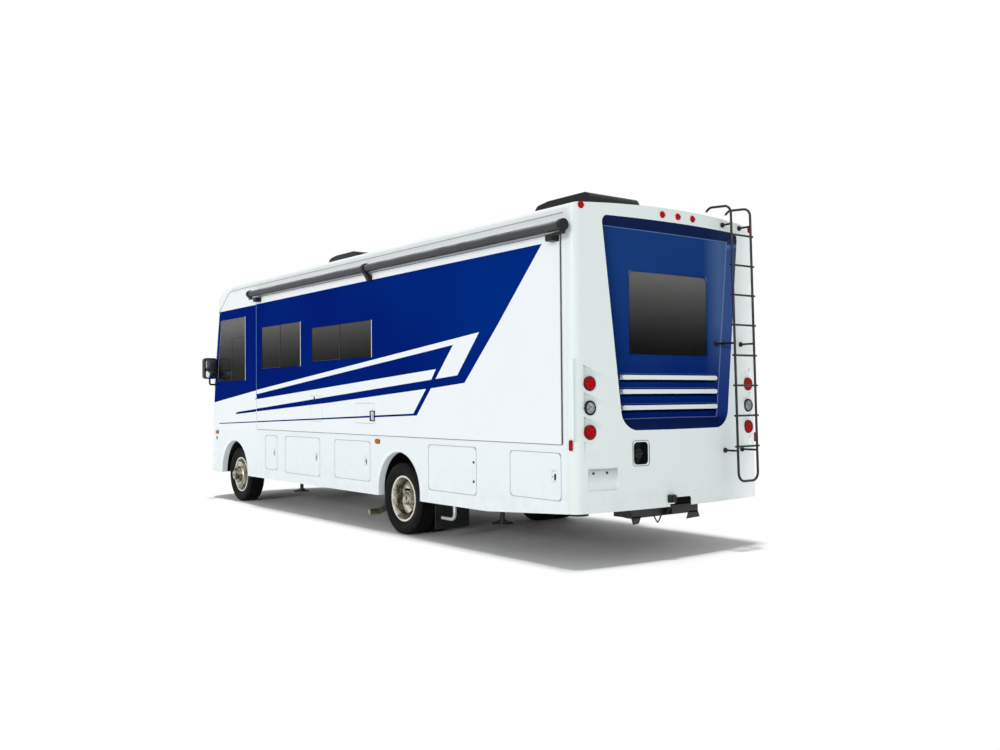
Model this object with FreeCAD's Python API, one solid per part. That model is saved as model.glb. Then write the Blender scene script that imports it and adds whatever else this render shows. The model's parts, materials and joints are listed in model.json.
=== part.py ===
import FreeCAD
import Part
import math
import os

# A class A motorhome with one long slide-out room on the driver's side.
# Millimetres. +X points forward, +Y to the driver's side and +Z up from the floor.
# Places along the coach are measured ahead of the rear axle, and write() moves each
# finished piece so that the origin lies on the floor below the middle of the length.

# Overall sizes
wheelbase = 4826.0
nose_ahead_of_front_axle = 1308.0
rear_wall_behind_axle = 3149.0
ladder_behind_axle = 3308.0
half_width = 1282.5
roof_crown_z = 3362.0
roof_bow = 45.0
roof_shoulder = 50.0
wall_thickness = 40.0
skirt_thickness = 25.0
cap_thickness = 12.0
seat_gap = 0.3
run_gap = 5.0
overrun = 60.0

# Levels
skirt_bottom_z = 420.0
rear_skirt_rise = 77.0
belt_z = 1090.0
wall_top_z = 3200.0
deck_top_z = 1112.0
deck_thickness = 52.0
rail_bottom_z = 600.0
rail_height = 230.0

# Front cap, from the bumper's lower edge to above the brow
front_bow = 340.0
front_corner = 280.0
bumper_top_z = 735.0
bumper_step = 34.0
screen_foot_z = 1560.0
screen_knee_z = 1990.0
screen_middle_z = 2505.0
screen_head_z = 2943.0
brow_z = 3143.0
brow_top_z = 3225.0
cap_roof_z = 3321.0
above_roof_z = 3450.0
belt_setback = 40.0
foot_setback = 46.0
knee_setback = 74.0
middle_setback = 185.0
head_setback = 274.0
brow_setback = 262.0
brow_top_setback = 386.0
roof_setback = 720.0
above_roof_setback = 1170.0

# Seam between the front cap and the walls
seam_low_behind_nose = 620.0
seam_window_behind_nose = 765.0
seam_window_z = 2807.0
seam_knee_z = 1843.0
seam_head_behind_nose = 790.0
seam_head_z = 2950.0
seam_top_behind_nose = 940.0
seam_roof_behind_nose = 1240.0

# Rear cap
rear_bow = 103.0
rear_corner = 90.0
rear_seam_inset = 200.0
rear_cap_bottom_z = 500.0
recess_top_z = 3235.0
recess_bottom_z = 1235.0
recess_top_inset = 304.5
recess_bottom_inset = 549.5
recess_top_round = 70.0
recess_bottom_round = 190.0
recess_depth = 110.0
recess_side_slope = 80.0
recess_soffit = 100.0
recess_sill = 120.0
rear_window_half = 550.0
rear_window_low_z = 1957.0
rear_window_high_z = 2746.0
rear_window_round = 60.0
rib_heights_z = (1737.0, 1602.0, 1450.0)
rib_inset = 65.0
rib_height = 42.0
rib_stand = 30.0
lamp_radius = 66.0
lamp_stand = 14.0
lamp_depth = 40.0
lamp_inset = 172.5
fold_heights_z = (1845.0, 1600.0, 1380.0, 1150.0)
fold_outer_inset = 110.5
fold_inner_inset = 342.5
fold_fall = 95.0
fold_drop = 190.0
fold_depth = 18.0
stop_lamp_z = 1676.0
reverse_lamp_z = 1455.0
tail_lamp_z = 1234.0
marker_inset = 99.5
marker_spacing = 213.0
marker_length = 60.0
marker_height = 20.0
marker_stand = 12.0
marker_z = 3296.0
filler_low_y = 433.0
filler_high_y = 610.0
filler_low_z = 920.0
filler_high_z = 1130.0
filler_round = 40.0
filler_depth = 60.0
plate_low_inset = 482.5
plate_high_inset = 147.5
plate_low_z = 700.0
plate_high_z = 893.0
plate_round = 22.0
plate_depth = 25.0
tow_notch_half = 152.0
tow_notch_top_z = 585.0
tow_notch_round = 30.0

# Cab side windows
cab_window_rear_behind_nose = 1772.0
cab_window_front_low_behind_nose = 655.0
cab_window_front_high_behind_nose = 800.0
cab_window_low_z = 1850.0
cab_window_high_z = 2804.0
cab_window_round = 45.0
glass_thickness = 6.0
glass_inset = 5.0

# Windscreen
screen_low_inset = 197.5
screen_high_inset = 242.5
screen_low_z = 1640.0
screen_high_z = 2850.0
screen_round = 90.0

# Front lamps and grille
grille_inset = 852.5
grille_low_z = 800.0
grille_high_z = 1040.0
grille_round = 50.0
grille_frame = 24.0
grille_bars = 5
grille_bar_height = 14.0
headlamp_inner_inset = 692.5
headlamp_outer_inset = 272.5
headlamp_low_z = 830.0
headlamp_high_z = 1020.0
headlamp_round = 60.0
headlamp_rise = 30.0

# Slide-out room
slide_rear_ahead_of_rear = 253.0
slide_front_behind_nose = 2220.0
slide_low_z = 1125.0
slide_high_z = 3050.0
slide_lap = 20.0
slide_clearance = 8.0
slide_depth = 760.0
slide_face_stand = 20.0
slide_wall = 30.0
slide_window_behind_front = (1469.0, 3383.0)
slide_window_lengths = (1271.0, 1581.0)
slide_window_low_z = (2003.0, 2051.0)
slide_window_high_z = (2599.0, 2491.0)
slide_window_round = 28.0
hatch_round = 14.0
hatch_thickness = 18.0
hatch_front_behind_front = 2100.0
hatch_front_length = 340.0
hatch_front_low_z = 1265.0
hatch_front_high_z = 1600.0
hatch_rear_behind_front = 3453.0
hatch_rear_length = 469.0
hatch_rear_low_z = 1260.0
hatch_rear_high_z = 1504.0
hatch_latch_radius = 22.0
hatch_latch_stand = 3.0
hatch_front_latch_inset = (80.0, 36.0)
hatch_rear_latch_inset = 95.0

# Topper roller over the slide-out
topper_reach = 97.5
topper_z = 3100.0
topper_radius = 47.0
topper_rear_overhang = 160.0
topper_front_overhang = 60.0
topper_cap_length = 46.0
topper_cap_radius = 55.0
topper_cradle_width = 60.0
topper_ring_wall = 11.0
topper_foot_inset = 206.0
topper_foot_half = 45.0
topper_foot_low_z = 2976.0
topper_foot_high_z = 3036.0
topper_link_thickness = 14.0
topper_link_height = 26.0
topper_centre_shift = 25.0
topper_cradle_low_z = 2957.0

# Right-side windows, two behind the entry door and one over the rear overhang
right_window_behind_door = (980.0, 2780.0)
right_window_lengths = (800.0, 1100.0)
right_window_low_z = 1950.0
right_window_high_z = 2600.0
rear_side_window_ahead_of_rear = 799.0
rear_side_window_length = 1000.0
rear_side_window_low_z = 2050.0
rear_side_window_high_z = 2550.0

# Entry door on the right
entry_rear_behind_nose = 3004.0
entry_front_behind_nose = 2284.0
entry_low_z = 560.0
entry_high_z = 2640.0
entry_round = 60.0
entry_window_margin = 130.0
entry_window_low_z = 1750.0
entry_handle_z = 1350.0
step_well_depth = 480.0
step_wall = 6.0
step_heights_z = (560.0, 790.0)

# Bay doors: three between the axles as shares of the wheelbase, two on the rear overhang
bay_rear_shares = (0.6707, 0.3987, 0.1272)
bay_front_shares = (0.7530, 0.6162, 0.3137)
bay_low_z = (560.0, 545.0, 565.0, 560.0, 606.0)
bay_high_z = (1045.0, 1048.0, 1045.0, 1052.0, 1045.0)
generator_bay_behind_axle = 1553.0
generator_bay_length = 895.0
rear_bay_ahead_of_rear = 278.0
rear_bay_length = 759.0
bay_round = 30.0
bay_depth = 620.0
bay_wall = 6.0
bay_lip = 22.0
bay_flange = 8.0
latch_radius = 27.0
latch_stand = 4.0
latch_inset = 92.0

# Wheels and tyres
tyre_radius = 408.0
tyre_width = 246.0
tyre_shoulder = 34.0
tyre_crown_share = 0.8
bead_radius = 248.0
rim_flange_radius = 261.0
rim_half = 96.0
rim_wall = 7.0
rim_well_radius = 218.0
disc_offset = 132.0
disc_radius = 150.0
disc_wall = 12.0
hand_holes = 8
hand_hole_radius = 26.0
hand_hole_ring = 186.0
hub_radius = 84.0
front_hub_end_radius = 67.0
front_hub_stand = 70.0
rear_hub_stand = 172.0
rear_hub_root_radius = 92.0
drum_radius = 196.0
drum_depth = 120.0
front_rim_inset = 218.5
rear_rim_inset = 178.5
dual_spacing = 274.0
spindle_radius = 32.0
spindle_gap = 0.5
front_arch_radius = 505.0
front_arch_z = 426.0
rear_arch_radius = 452.0
rear_arch_z = 492.0
arch_lip_depth = 100.0
arch_lip_wall = 6.0
arch_flare = 42.0
arch_flare_depth = 19.0
well_wall = 5.0
front_well_reach = 210.0
rear_well_reach = 235.0
well_margin = 24.0
axle_clearance = 112.0
mud_flap_behind = 726.0
mud_flap_inner_inset = 492.5
mud_flap_outer_inset = 20.5
mud_flap_low_z = 130.0
mud_flap_wall = 8.0

# Steering and axles
kingpin_inset = 134.0
kingpin_radius = 20.0
kingpin_boss = 38.0
kingpin_boss_half = 62.0
knuckle_lug = 24.0
beam_width = 90.0
beam_depth = 76.0
beam_drop = 95.0
beam_drop_inset = 370.0
rear_tube_radius = 58.0
diff_radius = 175.0
diff_half = 105.0
spring_reach = 90.0
spring_width = 76.0
spring_pack = 52.0
spring_half = 690.0
spring_camber = 70.0
drive_shaft_radius = 45.0
pinion_root_radius = 105.0
pinion_end_radius = 63.0

# Chassis frame
rail_inset = 852.5
rail_flange = 75.0
rail_web = 8.0
frame_front_behind_nose = 494.0
frame_rear_ahead_of_rear = 269.0
cross_member_shares = (-0.259, -0.1326, 0.1865, 0.4351, 0.6838, 0.8496)
cross_member_end_inset = 90.0
cross_member_width = 90.0
cross_member_height = 150.0
riser_length = 90.0

# Tow hitch
hitch_ahead_of_rear = 253.0
hitch_reach = 40.0
hitch_low_z = 390.0
hitch_tube = 90.0
receiver_outer = 64.0
receiver_inner = 51.0
receiver_length = 260.0
receiver_stand = 62.0
hitch_pin_radius = 8.4
hitch_pin_inset = 38.0

# Levelling jacks: place ahead of the rear axle
rear_jack_behind_axle = 1036.0
front_jack_behind_axle = 866.0
jack_reach = 130.0
jack_cylinder_radius = 42.0
jack_rod_radius = 26.0
jack_foot_radius = 118.0
jack_foot_z = 168.0
jack_foot_thickness = 12.0
jack_cylinder_low_z = 330.0
jack_top_z = 780.0

# Machinery below the floor
engine_rear_behind_nose = 1494.0
engine_front_behind_nose = 714.0
engine_inset = 180.0
engine_low_z = 470.0
engine_high_z = 1020.0
gearbox_rear_behind_nose = 2234.0
gearbox_radius = 150.0
shaft_z = 560.0
tank_rear_ahead_of_rear = 589.0
tank_front_x = -1350.0
tank_inset = 100.0
tank_low_z = 430.0
tank_high_z = 800.0
tank_round = 60.0
exhaust_radius = 37.0
exhaust_inset = 180.0
exhaust_z = 500.0
muffler_rear_x = 2150.0
muffler_front_x = 3050.0
muffler_radius = 105.0
exhaust_out_x = 969.0
exhaust_tip_inset = 182.5
exhaust_tip_z = 160.0
generator_size = (720.0, 470.0, 400.0)
generator_pipe_radius = 20.0
generator_pipe_inset = 92.5
generator_pipe_x = -1026.0
generator_pipe_low_z = 262.0
generator_pipe_end_x = -790.0

# Roof equipment
cooler_places_x = ((-2356.0, -1356.0), (2544.0, 3494.0))
cooler_half = 355.0
cooler_height = 300.0
cooler_round = 90.0
vent_places_x = (900.0, -600.0)
vent_half = 200.0
vent_height = 90.0

# Ladder
ladder_inset = 302.5
ladder_width = 300.0
ladder_tube = 12.5
ladder_rung = 10.5
ladder_bend = 85.0
ladder_foot_thickness = 10.0
ladder_top_stand = 90.0
ladder_rungs_z = (3180.0, 2871.0, 2570.0, 2267.0, 1961.0, 1658.0, 1355.0, 1047.0)
ladder_bottom_z = 700.0
ladder_top_z = 3470.0
ladder_hoop_reach = 330.0
ladder_foot_radius = 22.0
ladder_stays_z = (3287.0, 2084.0, 1005.0)

# Mirrors
mirror_behind_nose = 620.0
mirror_inner_reach = 13.5
mirror_outer_reach = 217.5
mirror_low_z = 1890.0
mirror_high_z = 2220.0
mirror_thickness = 100.0
mirror_round = 45.0
mirror_arm_radius = 14.0
mirror_arm_behind_nose = 589.0
mirror_arm_z = 1800.0

# Patio awning on the right
awning_rear_x = -1250.0
awning_door_gap = 40.0
awning_reach = 69.5
awning_z = 3080.0
awning_radius = 52.0
awning_arm_width = 60.0
awning_arm_low_z = 1230.0

# Cab interior
dash_rear_behind_nose = 1084.0
dash_front_behind_nose = 574.0
dash_inset = 302.5
dash_top_z = 1560.0
seat_inset = 722.5
seat_behind_nose = 1714.0
cushion_length = 520.0
cushion_half = 260.0
cushion_thickness = 130.0
cushion_z = 1430.0
back_height = 760.0
back_thickness = 140.0
back_lean = 12.0
back_gap = 30.0
pedestal_half = 170.0
steering_wheel_radius = 205.0
steering_wheel_tube = 15.0
steering_column_length = 328.0
steering_wheel_behind_nose = 1204.0
steering_wheel_z = 1720.0
column_lean = 38.0

# Places that follow from the sizes above
front_axle_x = wheelbase
nose_x = wheelbase + nose_ahead_of_front_axle
rear_wall_x = -rear_wall_behind_axle
rear_seam_x = rear_wall_x + rear_seam_inset
origin_x = (nose_x - ladder_behind_axle) / 2
inner_half = half_width - wall_thickness
seam_low_x = nose_x - seam_low_behind_nose
seam_window_x = nose_x - seam_window_behind_nose
seam_head_x = nose_x - seam_head_behind_nose
seam_top_x = nose_x - seam_top_behind_nose
seam_roof_x = nose_x - seam_roof_behind_nose
cab_window_rear_x = nose_x - cab_window_rear_behind_nose
cab_window_front_low_x = nose_x - cab_window_front_low_behind_nose
cab_window_front_high_x = nose_x - cab_window_front_high_behind_nose
engine_rear_x = nose_x - engine_rear_behind_nose
engine_front_x = nose_x - engine_front_behind_nose
gearbox_rear_x = nose_x - gearbox_rear_behind_nose
mirror_x = nose_x - mirror_behind_nose
mirror_arm_x = nose_x - mirror_arm_behind_nose
dash_rear_x = nose_x - dash_rear_behind_nose
dash_front_x = nose_x - dash_front_behind_nose
seat_x = nose_x - seat_behind_nose
steering_wheel_x = nose_x - steering_wheel_behind_nose
frame_front_x = nose_x - frame_front_behind_nose
slide_front_x = nose_x - slide_front_behind_nose
entry_rear_x = nose_x - entry_rear_behind_nose
entry_front_x = nose_x - entry_front_behind_nose
slide_rear_x = rear_wall_x + slide_rear_ahead_of_rear
frame_rear_x = rear_wall_x + frame_rear_ahead_of_rear
hitch_x = rear_wall_x + hitch_ahead_of_rear
tank_rear_x = rear_wall_x + tank_rear_ahead_of_rear
recess_top_half = half_width - recess_top_inset
recess_bottom_half = half_width - recess_bottom_inset
lamp_y = half_width - lamp_inset
plate_low_y = half_width - plate_low_inset
plate_high_y = half_width - plate_high_inset
screen_half_low = half_width - screen_low_inset
screen_half_high = half_width - screen_high_inset
headlamp_inner_y = half_width - headlamp_inner_inset
headlamp_outer_y = half_width - headlamp_outer_inset
grille_half = half_width - grille_inset
front_rim_y = half_width - front_rim_inset
rear_rim_y = half_width - rear_rim_inset
rail_y = half_width - rail_inset
mud_flap_inner_y = half_width - mud_flap_inner_inset
mud_flap_outer_y = half_width - mud_flap_outer_inset
exhaust_tip_y = half_width - exhaust_tip_inset
generator_pipe_y = half_width - generator_pipe_inset
seat_y = half_width - seat_inset
dash_half = half_width - dash_inset
topper_y = half_width + topper_reach
awning_y = half_width + awning_reach
mirror_inner_y = half_width + mirror_inner_reach
mirror_outer_y = half_width + mirror_outer_reach
kingpin_y = front_rim_y - kingpin_inset
beam_drop_half = kingpin_y - beam_drop_inset
spring_y = rail_y + spring_reach
hitch_half = rail_y + hitch_reach
jack_y = rail_y + jack_reach
front_well_inner_y = rail_y + front_well_reach
rear_well_inner_y = rail_y + rear_well_reach
engine_half = rail_y - engine_inset
exhaust_y = rail_y - exhaust_inset
tank_half = rail_y - tank_inset
rib_half = recess_bottom_half - rib_inset
topper_rear_x = slide_rear_x - topper_rear_overhang
topper_front_x = slide_front_x + topper_front_overhang
topper_centre_x = (slide_rear_x + slide_front_x) / 2 + topper_centre_shift
ladder_outer_y = ladder_inset - half_width
ladder_inner_y = ladder_outer_y + ladder_width
marker_outer_y = half_width - marker_inset
marker_y_places = (-marker_outer_y, -marker_spacing, 0.0, marker_spacing, marker_outer_y)
slide_windows = [(slide_front_x - behind, slide_front_x - behind + length, low, high)
                 for behind, length, low, high in zip(slide_window_behind_front, slide_window_lengths,
                                                      slide_window_low_z, slide_window_high_z)]
hatch_front_x = slide_front_x - hatch_front_behind_front
hatch_front = (hatch_front_x, hatch_front_x + hatch_front_length, hatch_front_low_z, hatch_front_high_z)
hatch_rear_x = slide_front_x - hatch_rear_behind_front
hatch_rear = (hatch_rear_x, hatch_rear_x + hatch_rear_length, hatch_rear_low_z, hatch_rear_high_z)
right_windows = [(entry_rear_x - behind, entry_rear_x - behind + length, right_window_low_z,
                  right_window_high_z)
                 for behind, length in zip(right_window_behind_door, right_window_lengths)]
rear_side_window_x = rear_wall_x + rear_side_window_ahead_of_rear
right_windows.append((rear_side_window_x, rear_side_window_x + rear_side_window_length,
                      rear_side_window_low_z, rear_side_window_high_z))
rear_bay_x = rear_wall_x + rear_bay_ahead_of_rear
bay_rear_x = [share * wheelbase for share in bay_rear_shares] + [-generator_bay_behind_axle, rear_bay_x]
bay_front_x = [share * wheelbase for share in bay_front_shares] + [
    generator_bay_length - generator_bay_behind_axle, rear_bay_x + rear_bay_length]
left_bays = list(zip(bay_rear_x, bay_front_x, bay_low_z, bay_high_z))
generator_bay = left_bays[-2]
right_bays = left_bays[1:-1]
jack_places_x = (-rear_jack_behind_axle, front_axle_x - front_jack_behind_axle)
cross_member_places = ([frame_rear_x + 2 * cross_member_end_inset] +
                       [share * wheelbase for share in cross_member_shares] +
                       [frame_front_x - cross_member_end_inset])
awning_front_x = entry_rear_x - awning_door_gap
deck_low_z = deck_top_z - deck_thickness
rail_top_z = rail_bottom_z + rail_height
dual_face_y = rear_rim_y - disc_offset
bead_half = rim_half - rim_wall - seat_gap
wheel_z = tyre_radius

front_stations = (
    (skirt_bottom_z, 0.0),
    (bumper_top_z, 0.0),
    (bumper_top_z + bumper_step, bumper_step),
    (belt_z, belt_setback),
    (screen_foot_z, foot_setback),
    (screen_knee_z, knee_setback),
    (screen_middle_z, middle_setback),
    (screen_head_z, head_setback),
    (brow_z, brow_setback),
    (brow_top_z, brow_top_setback),
    (cap_roof_z, roof_setback),
    (above_roof_z, above_roof_setback),
)


def vec(x, y, z):
    return FreeCAD.Vector(x, y, z)


def box(x0, x1, y0, y1, z0, z1):
    return Part.makeBox(x1 - x0, y1 - y0, z1 - z0, vec(x0, y0, z0))


def rod(radius, start, end):
    along = end.sub(start)
    return Part.makeCylinder(radius, along.Length, start, along)


def cone(radius_start, radius_end, start, end):
    along = end.sub(start)
    return Part.makeCone(radius_start, radius_end, along.Length, start, along)


def bar(path, radius, bend):
    """A round bar along straight runs with tangent bends between them."""
    edges = []
    start = path[0]
    for before, corner, after in zip(path, path[1:], path[2:]):
        back = before.sub(corner).normalize()
        ahead = after.sub(corner).normalize()
        half_angle = back.getAngle(ahead) / 2
        run = bend / math.tan(half_angle)
        reach = bend / math.sin(half_angle) - bend
        middle = back.add(ahead).normalize()
        into = corner.add(back * run)
        out = corner.add(ahead * run)
        edges.append(Part.LineSegment(start, into).toShape())
        edges.append(Part.Arc(into, corner.add(middle * reach), out).toShape())
        start = out
    edges.append(Part.LineSegment(start, path[-1]).toShape())
    section = Part.Wire(Part.makeCircle(radius, path[0], path[1].sub(path[0])))
    return Part.Wire(edges).makePipeShell([section], True, True)


def fuse(shapes):
    first = shapes[0]
    return first.fuse(shapes[1:]).removeSplitter() if len(shapes) > 1 else first


def mirrored(shape):
    return shape.mirror(vec(0, 0, 0), vec(0, 1, 0))


def pair(shape):
    """A piece and its twin on the other side of the coach."""
    return Part.makeCompound([shape, mirrored(shape)])


def in_plane(axis, level, u, v):
    if axis == "x":
        return vec(level, u, v)
    if axis == "y":
        return vec(u, level, v)
    return vec(u, v, level)


def outline(axis, level, points, radii):
    """A closed wire through points, each corner rounded by its own radius."""
    corners = [in_plane(axis, level, u, v) for u, v in points]
    if not isinstance(radii, (list, tuple)):
        radii = [radii] * len(corners)
    edges = []
    ends = []
    for i, corner in enumerate(corners):
        back = corners[i - 1].sub(corner).normalize()
        ahead = corners[(i + 1) % len(corners)].sub(corner).normalize()
        if not radii[i]:
            ends.append((corner, corner))
            continue
        half_angle = back.getAngle(ahead) / 2
        run = radii[i] / math.tan(half_angle)
        middle = back.add(ahead).normalize()
        reach = radii[i] / math.sin(half_angle) - radii[i]
        start = corner.add(back * run)
        end = corner.add(ahead * run)
        edges.append(Part.Arc(start, corner.add(middle * reach), end).toShape())
        ends.append((start, end))
    for i, (start, end) in enumerate(ends):
        following = ends[(i + 1) % len(ends)][0]
        if end.distanceToPoint(following) > 1e-6:
            edges.append(Part.LineSegment(end, following).toShape())
    return Part.Wire(Part.__sortEdges__(edges))


def slab(axis, start, end, points, radii=0):
    """A flat plate with a rounded outline, between two levels of one axis."""
    face = Part.Face(outline(axis, start, points, radii))
    return face.extrude(in_plane(axis, end - start, 0, 0))


def rectangle(u0, u1, v0, v1, inset=0.0):
    return (
        (u0 + inset, v0 + inset),
        (u1 - inset, v0 + inset),
        (u1 - inset, v1 - inset),
        (u0 + inset, v1 - inset),
    )


def bowed_outline(half, tip, bow, corner, back, inset, place):
    """Straight sides, round corners and one long bow across the end."""
    bow_radius = (half**2 + bow**2) / (2 * bow)
    centre = tip - bow_radius
    span = bow_radius - corner
    side = half - corner
    corner_v = centre + math.sqrt(span**2 - side**2)
    reach = (bow_radius - inset) / span
    touch_u = side * reach
    touch_v = centre + (corner_v - centre) * reach
    angle = math.atan2(corner_v - centre, side) / 2
    mid_u = side + (corner - inset) * math.cos(angle)
    mid_v = corner_v + (corner - inset) * math.sin(angle)
    edge_u = half - inset
    edges = [
        Part.LineSegment(place(-edge_u, back), place(-edge_u, corner_v)),
        Part.Arc(place(-edge_u, corner_v), place(-mid_u, mid_v), place(-touch_u, touch_v)),
        Part.Arc(place(-touch_u, touch_v), place(0, tip - inset), place(touch_u, touch_v)),
        Part.Arc(place(touch_u, touch_v), place(mid_u, mid_v), place(edge_u, corner_v)),
        Part.LineSegment(place(edge_u, corner_v), place(edge_u, back)),
        Part.LineSegment(place(edge_u, back), place(-edge_u, back)),
    ]
    return Part.Wire([edge.toShape() for edge in edges])


def coach_section(x0, x1, low_z, inset=0.0):
    """The coach's cross-section with its crowned roof, as a bar along X."""
    wire = bowed_outline(half_width, roof_crown_z, roof_bow, roof_shoulder, low_z, inset,
                         lambda u, v: vec(x0, u, v))
    return Part.Face(wire).extrude(vec(x1 - x0, 0, 0))


def front_form(inset, lower=0.0):
    """The nose as ruled bands between its stations, drawn in by inset."""
    wires = []
    for height, setback in front_stations:
        wires.append(bowed_outline(half_width, nose_x - setback, front_bow, front_corner,
                                   cab_window_rear_x, inset,
                                   lambda u, v, z=height - lower: vec(v, u, z)))
    plan = Part.makeLoft(wires, True, True)
    section = coach_section(cab_window_rear_x - overrun, nose_x + overrun,
                            skirt_bottom_z - overrun, inset)
    return plan.common(section)


def rear_form(inset, depth=0.0, spread=0.0):
    """The rear end as a prism with a bowed face, drawn in by inset or set back by depth."""
    wire = bowed_outline(half_width + spread, -rear_wall_x - depth, rear_bow, rear_corner + spread,
                         -rear_seam_x - overrun * 3 - 2 * spread, inset,
                         lambda u, v: vec(-v, u, rear_cap_bottom_z - spread))
    return Part.Face(wire).extrude(vec(0, 0, above_roof_z - rear_cap_bottom_z + 2 * spread))


def pocket(points, radii, depth, grow=0.0):
    """The hollow of a recess in the rear face, down to a floor that follows the face."""
    centre_u = sum(u for u, v in points) / len(points)
    centre_v = sum(v for u, v in points) / len(points)
    grown = [(u + math.copysign(grow, u - centre_u), v + math.copysign(grow, v - centre_v))
             for u, v in points]
    solid = slab("x", rear_wall_x - overrun, rear_seam_x, grown, radii)
    return solid.cut(rear_form(0.0, depth, overrun * 3))


def leaning_form(level, shift, height):
    """The rear form's plan at one level, drawn back by shift over a height, up or down."""
    wire = bowed_outline(half_width + overrun, -rear_wall_x, rear_bow, rear_corner + overrun,
                         -rear_seam_x - overrun * 6, 0.0, lambda u, v: vec(-v, u, level))
    return Part.Face(wire).extrude(vec(shift, 0, height))


def sunk_panel(depth, grow):
    """The centre panel's hollow: sides that close in, a sloped soffit and a sloped sill."""
    def outline_at(x, inset):
        high = recess_top_half + grow - inset
        low = recess_bottom_half + grow - inset
        points = [vec(x, -low, recess_bottom_z - grow), vec(x, low, recess_bottom_z - grow),
                  vec(x, high, recess_top_z + grow), vec(x, -high, recess_top_z + grow)]
        return Part.makePolygon(points + points[:1])

    lean = recess_side_slope / recess_depth
    face_x = rear_wall_x + recess_bottom_half**2 * rear_bow / half_width**2
    start_x = rear_wall_x - overrun
    end_x = rear_wall_x + rear_bow + depth
    solid = Part.makeLoft([outline_at(start_x, (start_x - face_x) * lean),
                           outline_at(end_x, (end_x - face_x) * lean)], True, True)
    middle_z = (recess_bottom_z + recess_top_z) / 2
    for radius, above in ((recess_bottom_round, False), (recess_top_round, True)):
        corners = [edge for edge in solid.Edges if edge.BoundBox.XLength > overrun
                   and (edge.CenterOfMass.z > middle_z) == above]
        solid = solid.makeFillet(radius, corners)
    solid = solid.cut(rear_form(0.0, depth, overrun * 3))
    soffit = leaning_form(recess_top_z + grow + seat_gap, 2 * recess_depth, -2 * recess_soffit)
    sill = leaning_form(recess_bottom_z - grow - seat_gap, 2 * recess_depth, 2 * recess_sill)
    return solid.cut([soffit, sill])


def face_x_at(y):
    """Where the bowed rear face lies at a distance from the middle."""
    return rear_wall_x + y**2 * rear_bow / half_width**2


def lamp_fold(z, side, shift):
    """A wedge under a slanted fold line, deepest at the outer end."""
    outer_y = half_width - fold_outer_inset
    inner_y = half_width - fold_inner_inset
    deep = vec(face_x_at(outer_y) + fold_depth, outer_y, z)
    near = vec(face_x_at(inner_y), inner_y, z - fold_fall)
    low = vec(face_x_at(outer_y), outer_y, z - fold_drop)
    reach = 1 + overrun / fold_depth
    corners = [deep, deep.add(vec(-fold_depth - overrun, 0, 0)),
               deep.add(near.sub(deep) * reach), deep.add(low.sub(deep) * reach)]
    corners = [vec(p.x + shift, side * p.y, p.z) for p in corners]
    base = Part.makePolygon(corners[1:] + corners[1:2])
    return Part.makeLoft([base, Part.Vertex(corners[0])], True, True)


def seam_outline():
    """The walls' outline as seen from the side, up to the front cap's seam."""
    return (
        (rear_seam_x, belt_z),
        (seam_low_x, belt_z),
        (seam_low_x, seam_knee_z),
        (seam_window_x, seam_window_z),
        (seam_head_x, seam_head_z),
        (seam_top_x, wall_top_z),
        (rear_seam_x, wall_top_z),
    )


def screen_points(inset=0.0):
    return (
        (-screen_half_low + inset, screen_low_z + inset),
        (screen_half_low - inset, screen_low_z + inset),
        (screen_half_high - inset, screen_high_z - inset),
        (-screen_half_high + inset, screen_high_z - inset),
    )


def headlamp_points(inset=0.0):
    return (
        (headlamp_inner_y + inset, headlamp_low_z + inset),
        (headlamp_outer_y - inset, headlamp_low_z + headlamp_rise + inset),
        (headlamp_outer_y - inset, headlamp_high_z - inset),
        (headlamp_inner_y + inset, headlamp_high_z - headlamp_rise - inset),
    )


def cab_window_points(inset=0.0):
    return (
        (cab_window_rear_x + inset, cab_window_low_z + inset),
        (cab_window_front_low_x - inset, cab_window_low_z + inset),
        (cab_window_front_high_x - inset, cab_window_high_z - inset),
        (cab_window_rear_x + inset, cab_window_high_z - inset),
    )


def front_cap():
    """The moulded nose, hollow, with its windscreen, grille and lamp openings."""
    shell = front_form(0.0).cut(front_form(cap_thickness, cap_thickness))
    keep = slab("y", -half_width - overrun, half_width + overrun, (
        (seam_low_x, skirt_bottom_z - overrun),
        (nose_x + overrun, skirt_bottom_z - overrun),
        (nose_x + overrun, above_roof_z),
        (seam_roof_x, above_roof_z),
        (seam_roof_x, wall_top_z),
        (seam_top_x, wall_top_z),
        (seam_head_x, seam_head_z),
        (seam_window_x, seam_window_z),
        (seam_low_x, seam_knee_z),
    ))
    shell = shell.common(keep)
    reach = nose_x + overrun
    tools = [slab("x", seam_window_x, reach, screen_points(), screen_round)]
    tools.append(slab("x", seam_low_x, reach,
                      rectangle(-grille_half, grille_half, grille_low_z, grille_high_z),
                      grille_round))
    lamp = slab("x", seam_low_x, reach, headlamp_points(), headlamp_round)
    tools += [lamp, mirrored(lamp)]
    return shell.cut(tools)


def front_band(outer_inset, inner_inset, tool):
    """A piece of the nose's own skin, cut out by a tool."""
    outer = front_form(outer_inset, outer_inset)
    return outer.common(tool).cut(front_form(inner_inset, inner_inset))


def windscreen():
    tool = slab("x", seam_window_x, nose_x + overrun, screen_points(seat_gap), screen_round)
    return front_band(glass_inset, glass_inset + glass_thickness, tool)


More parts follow.
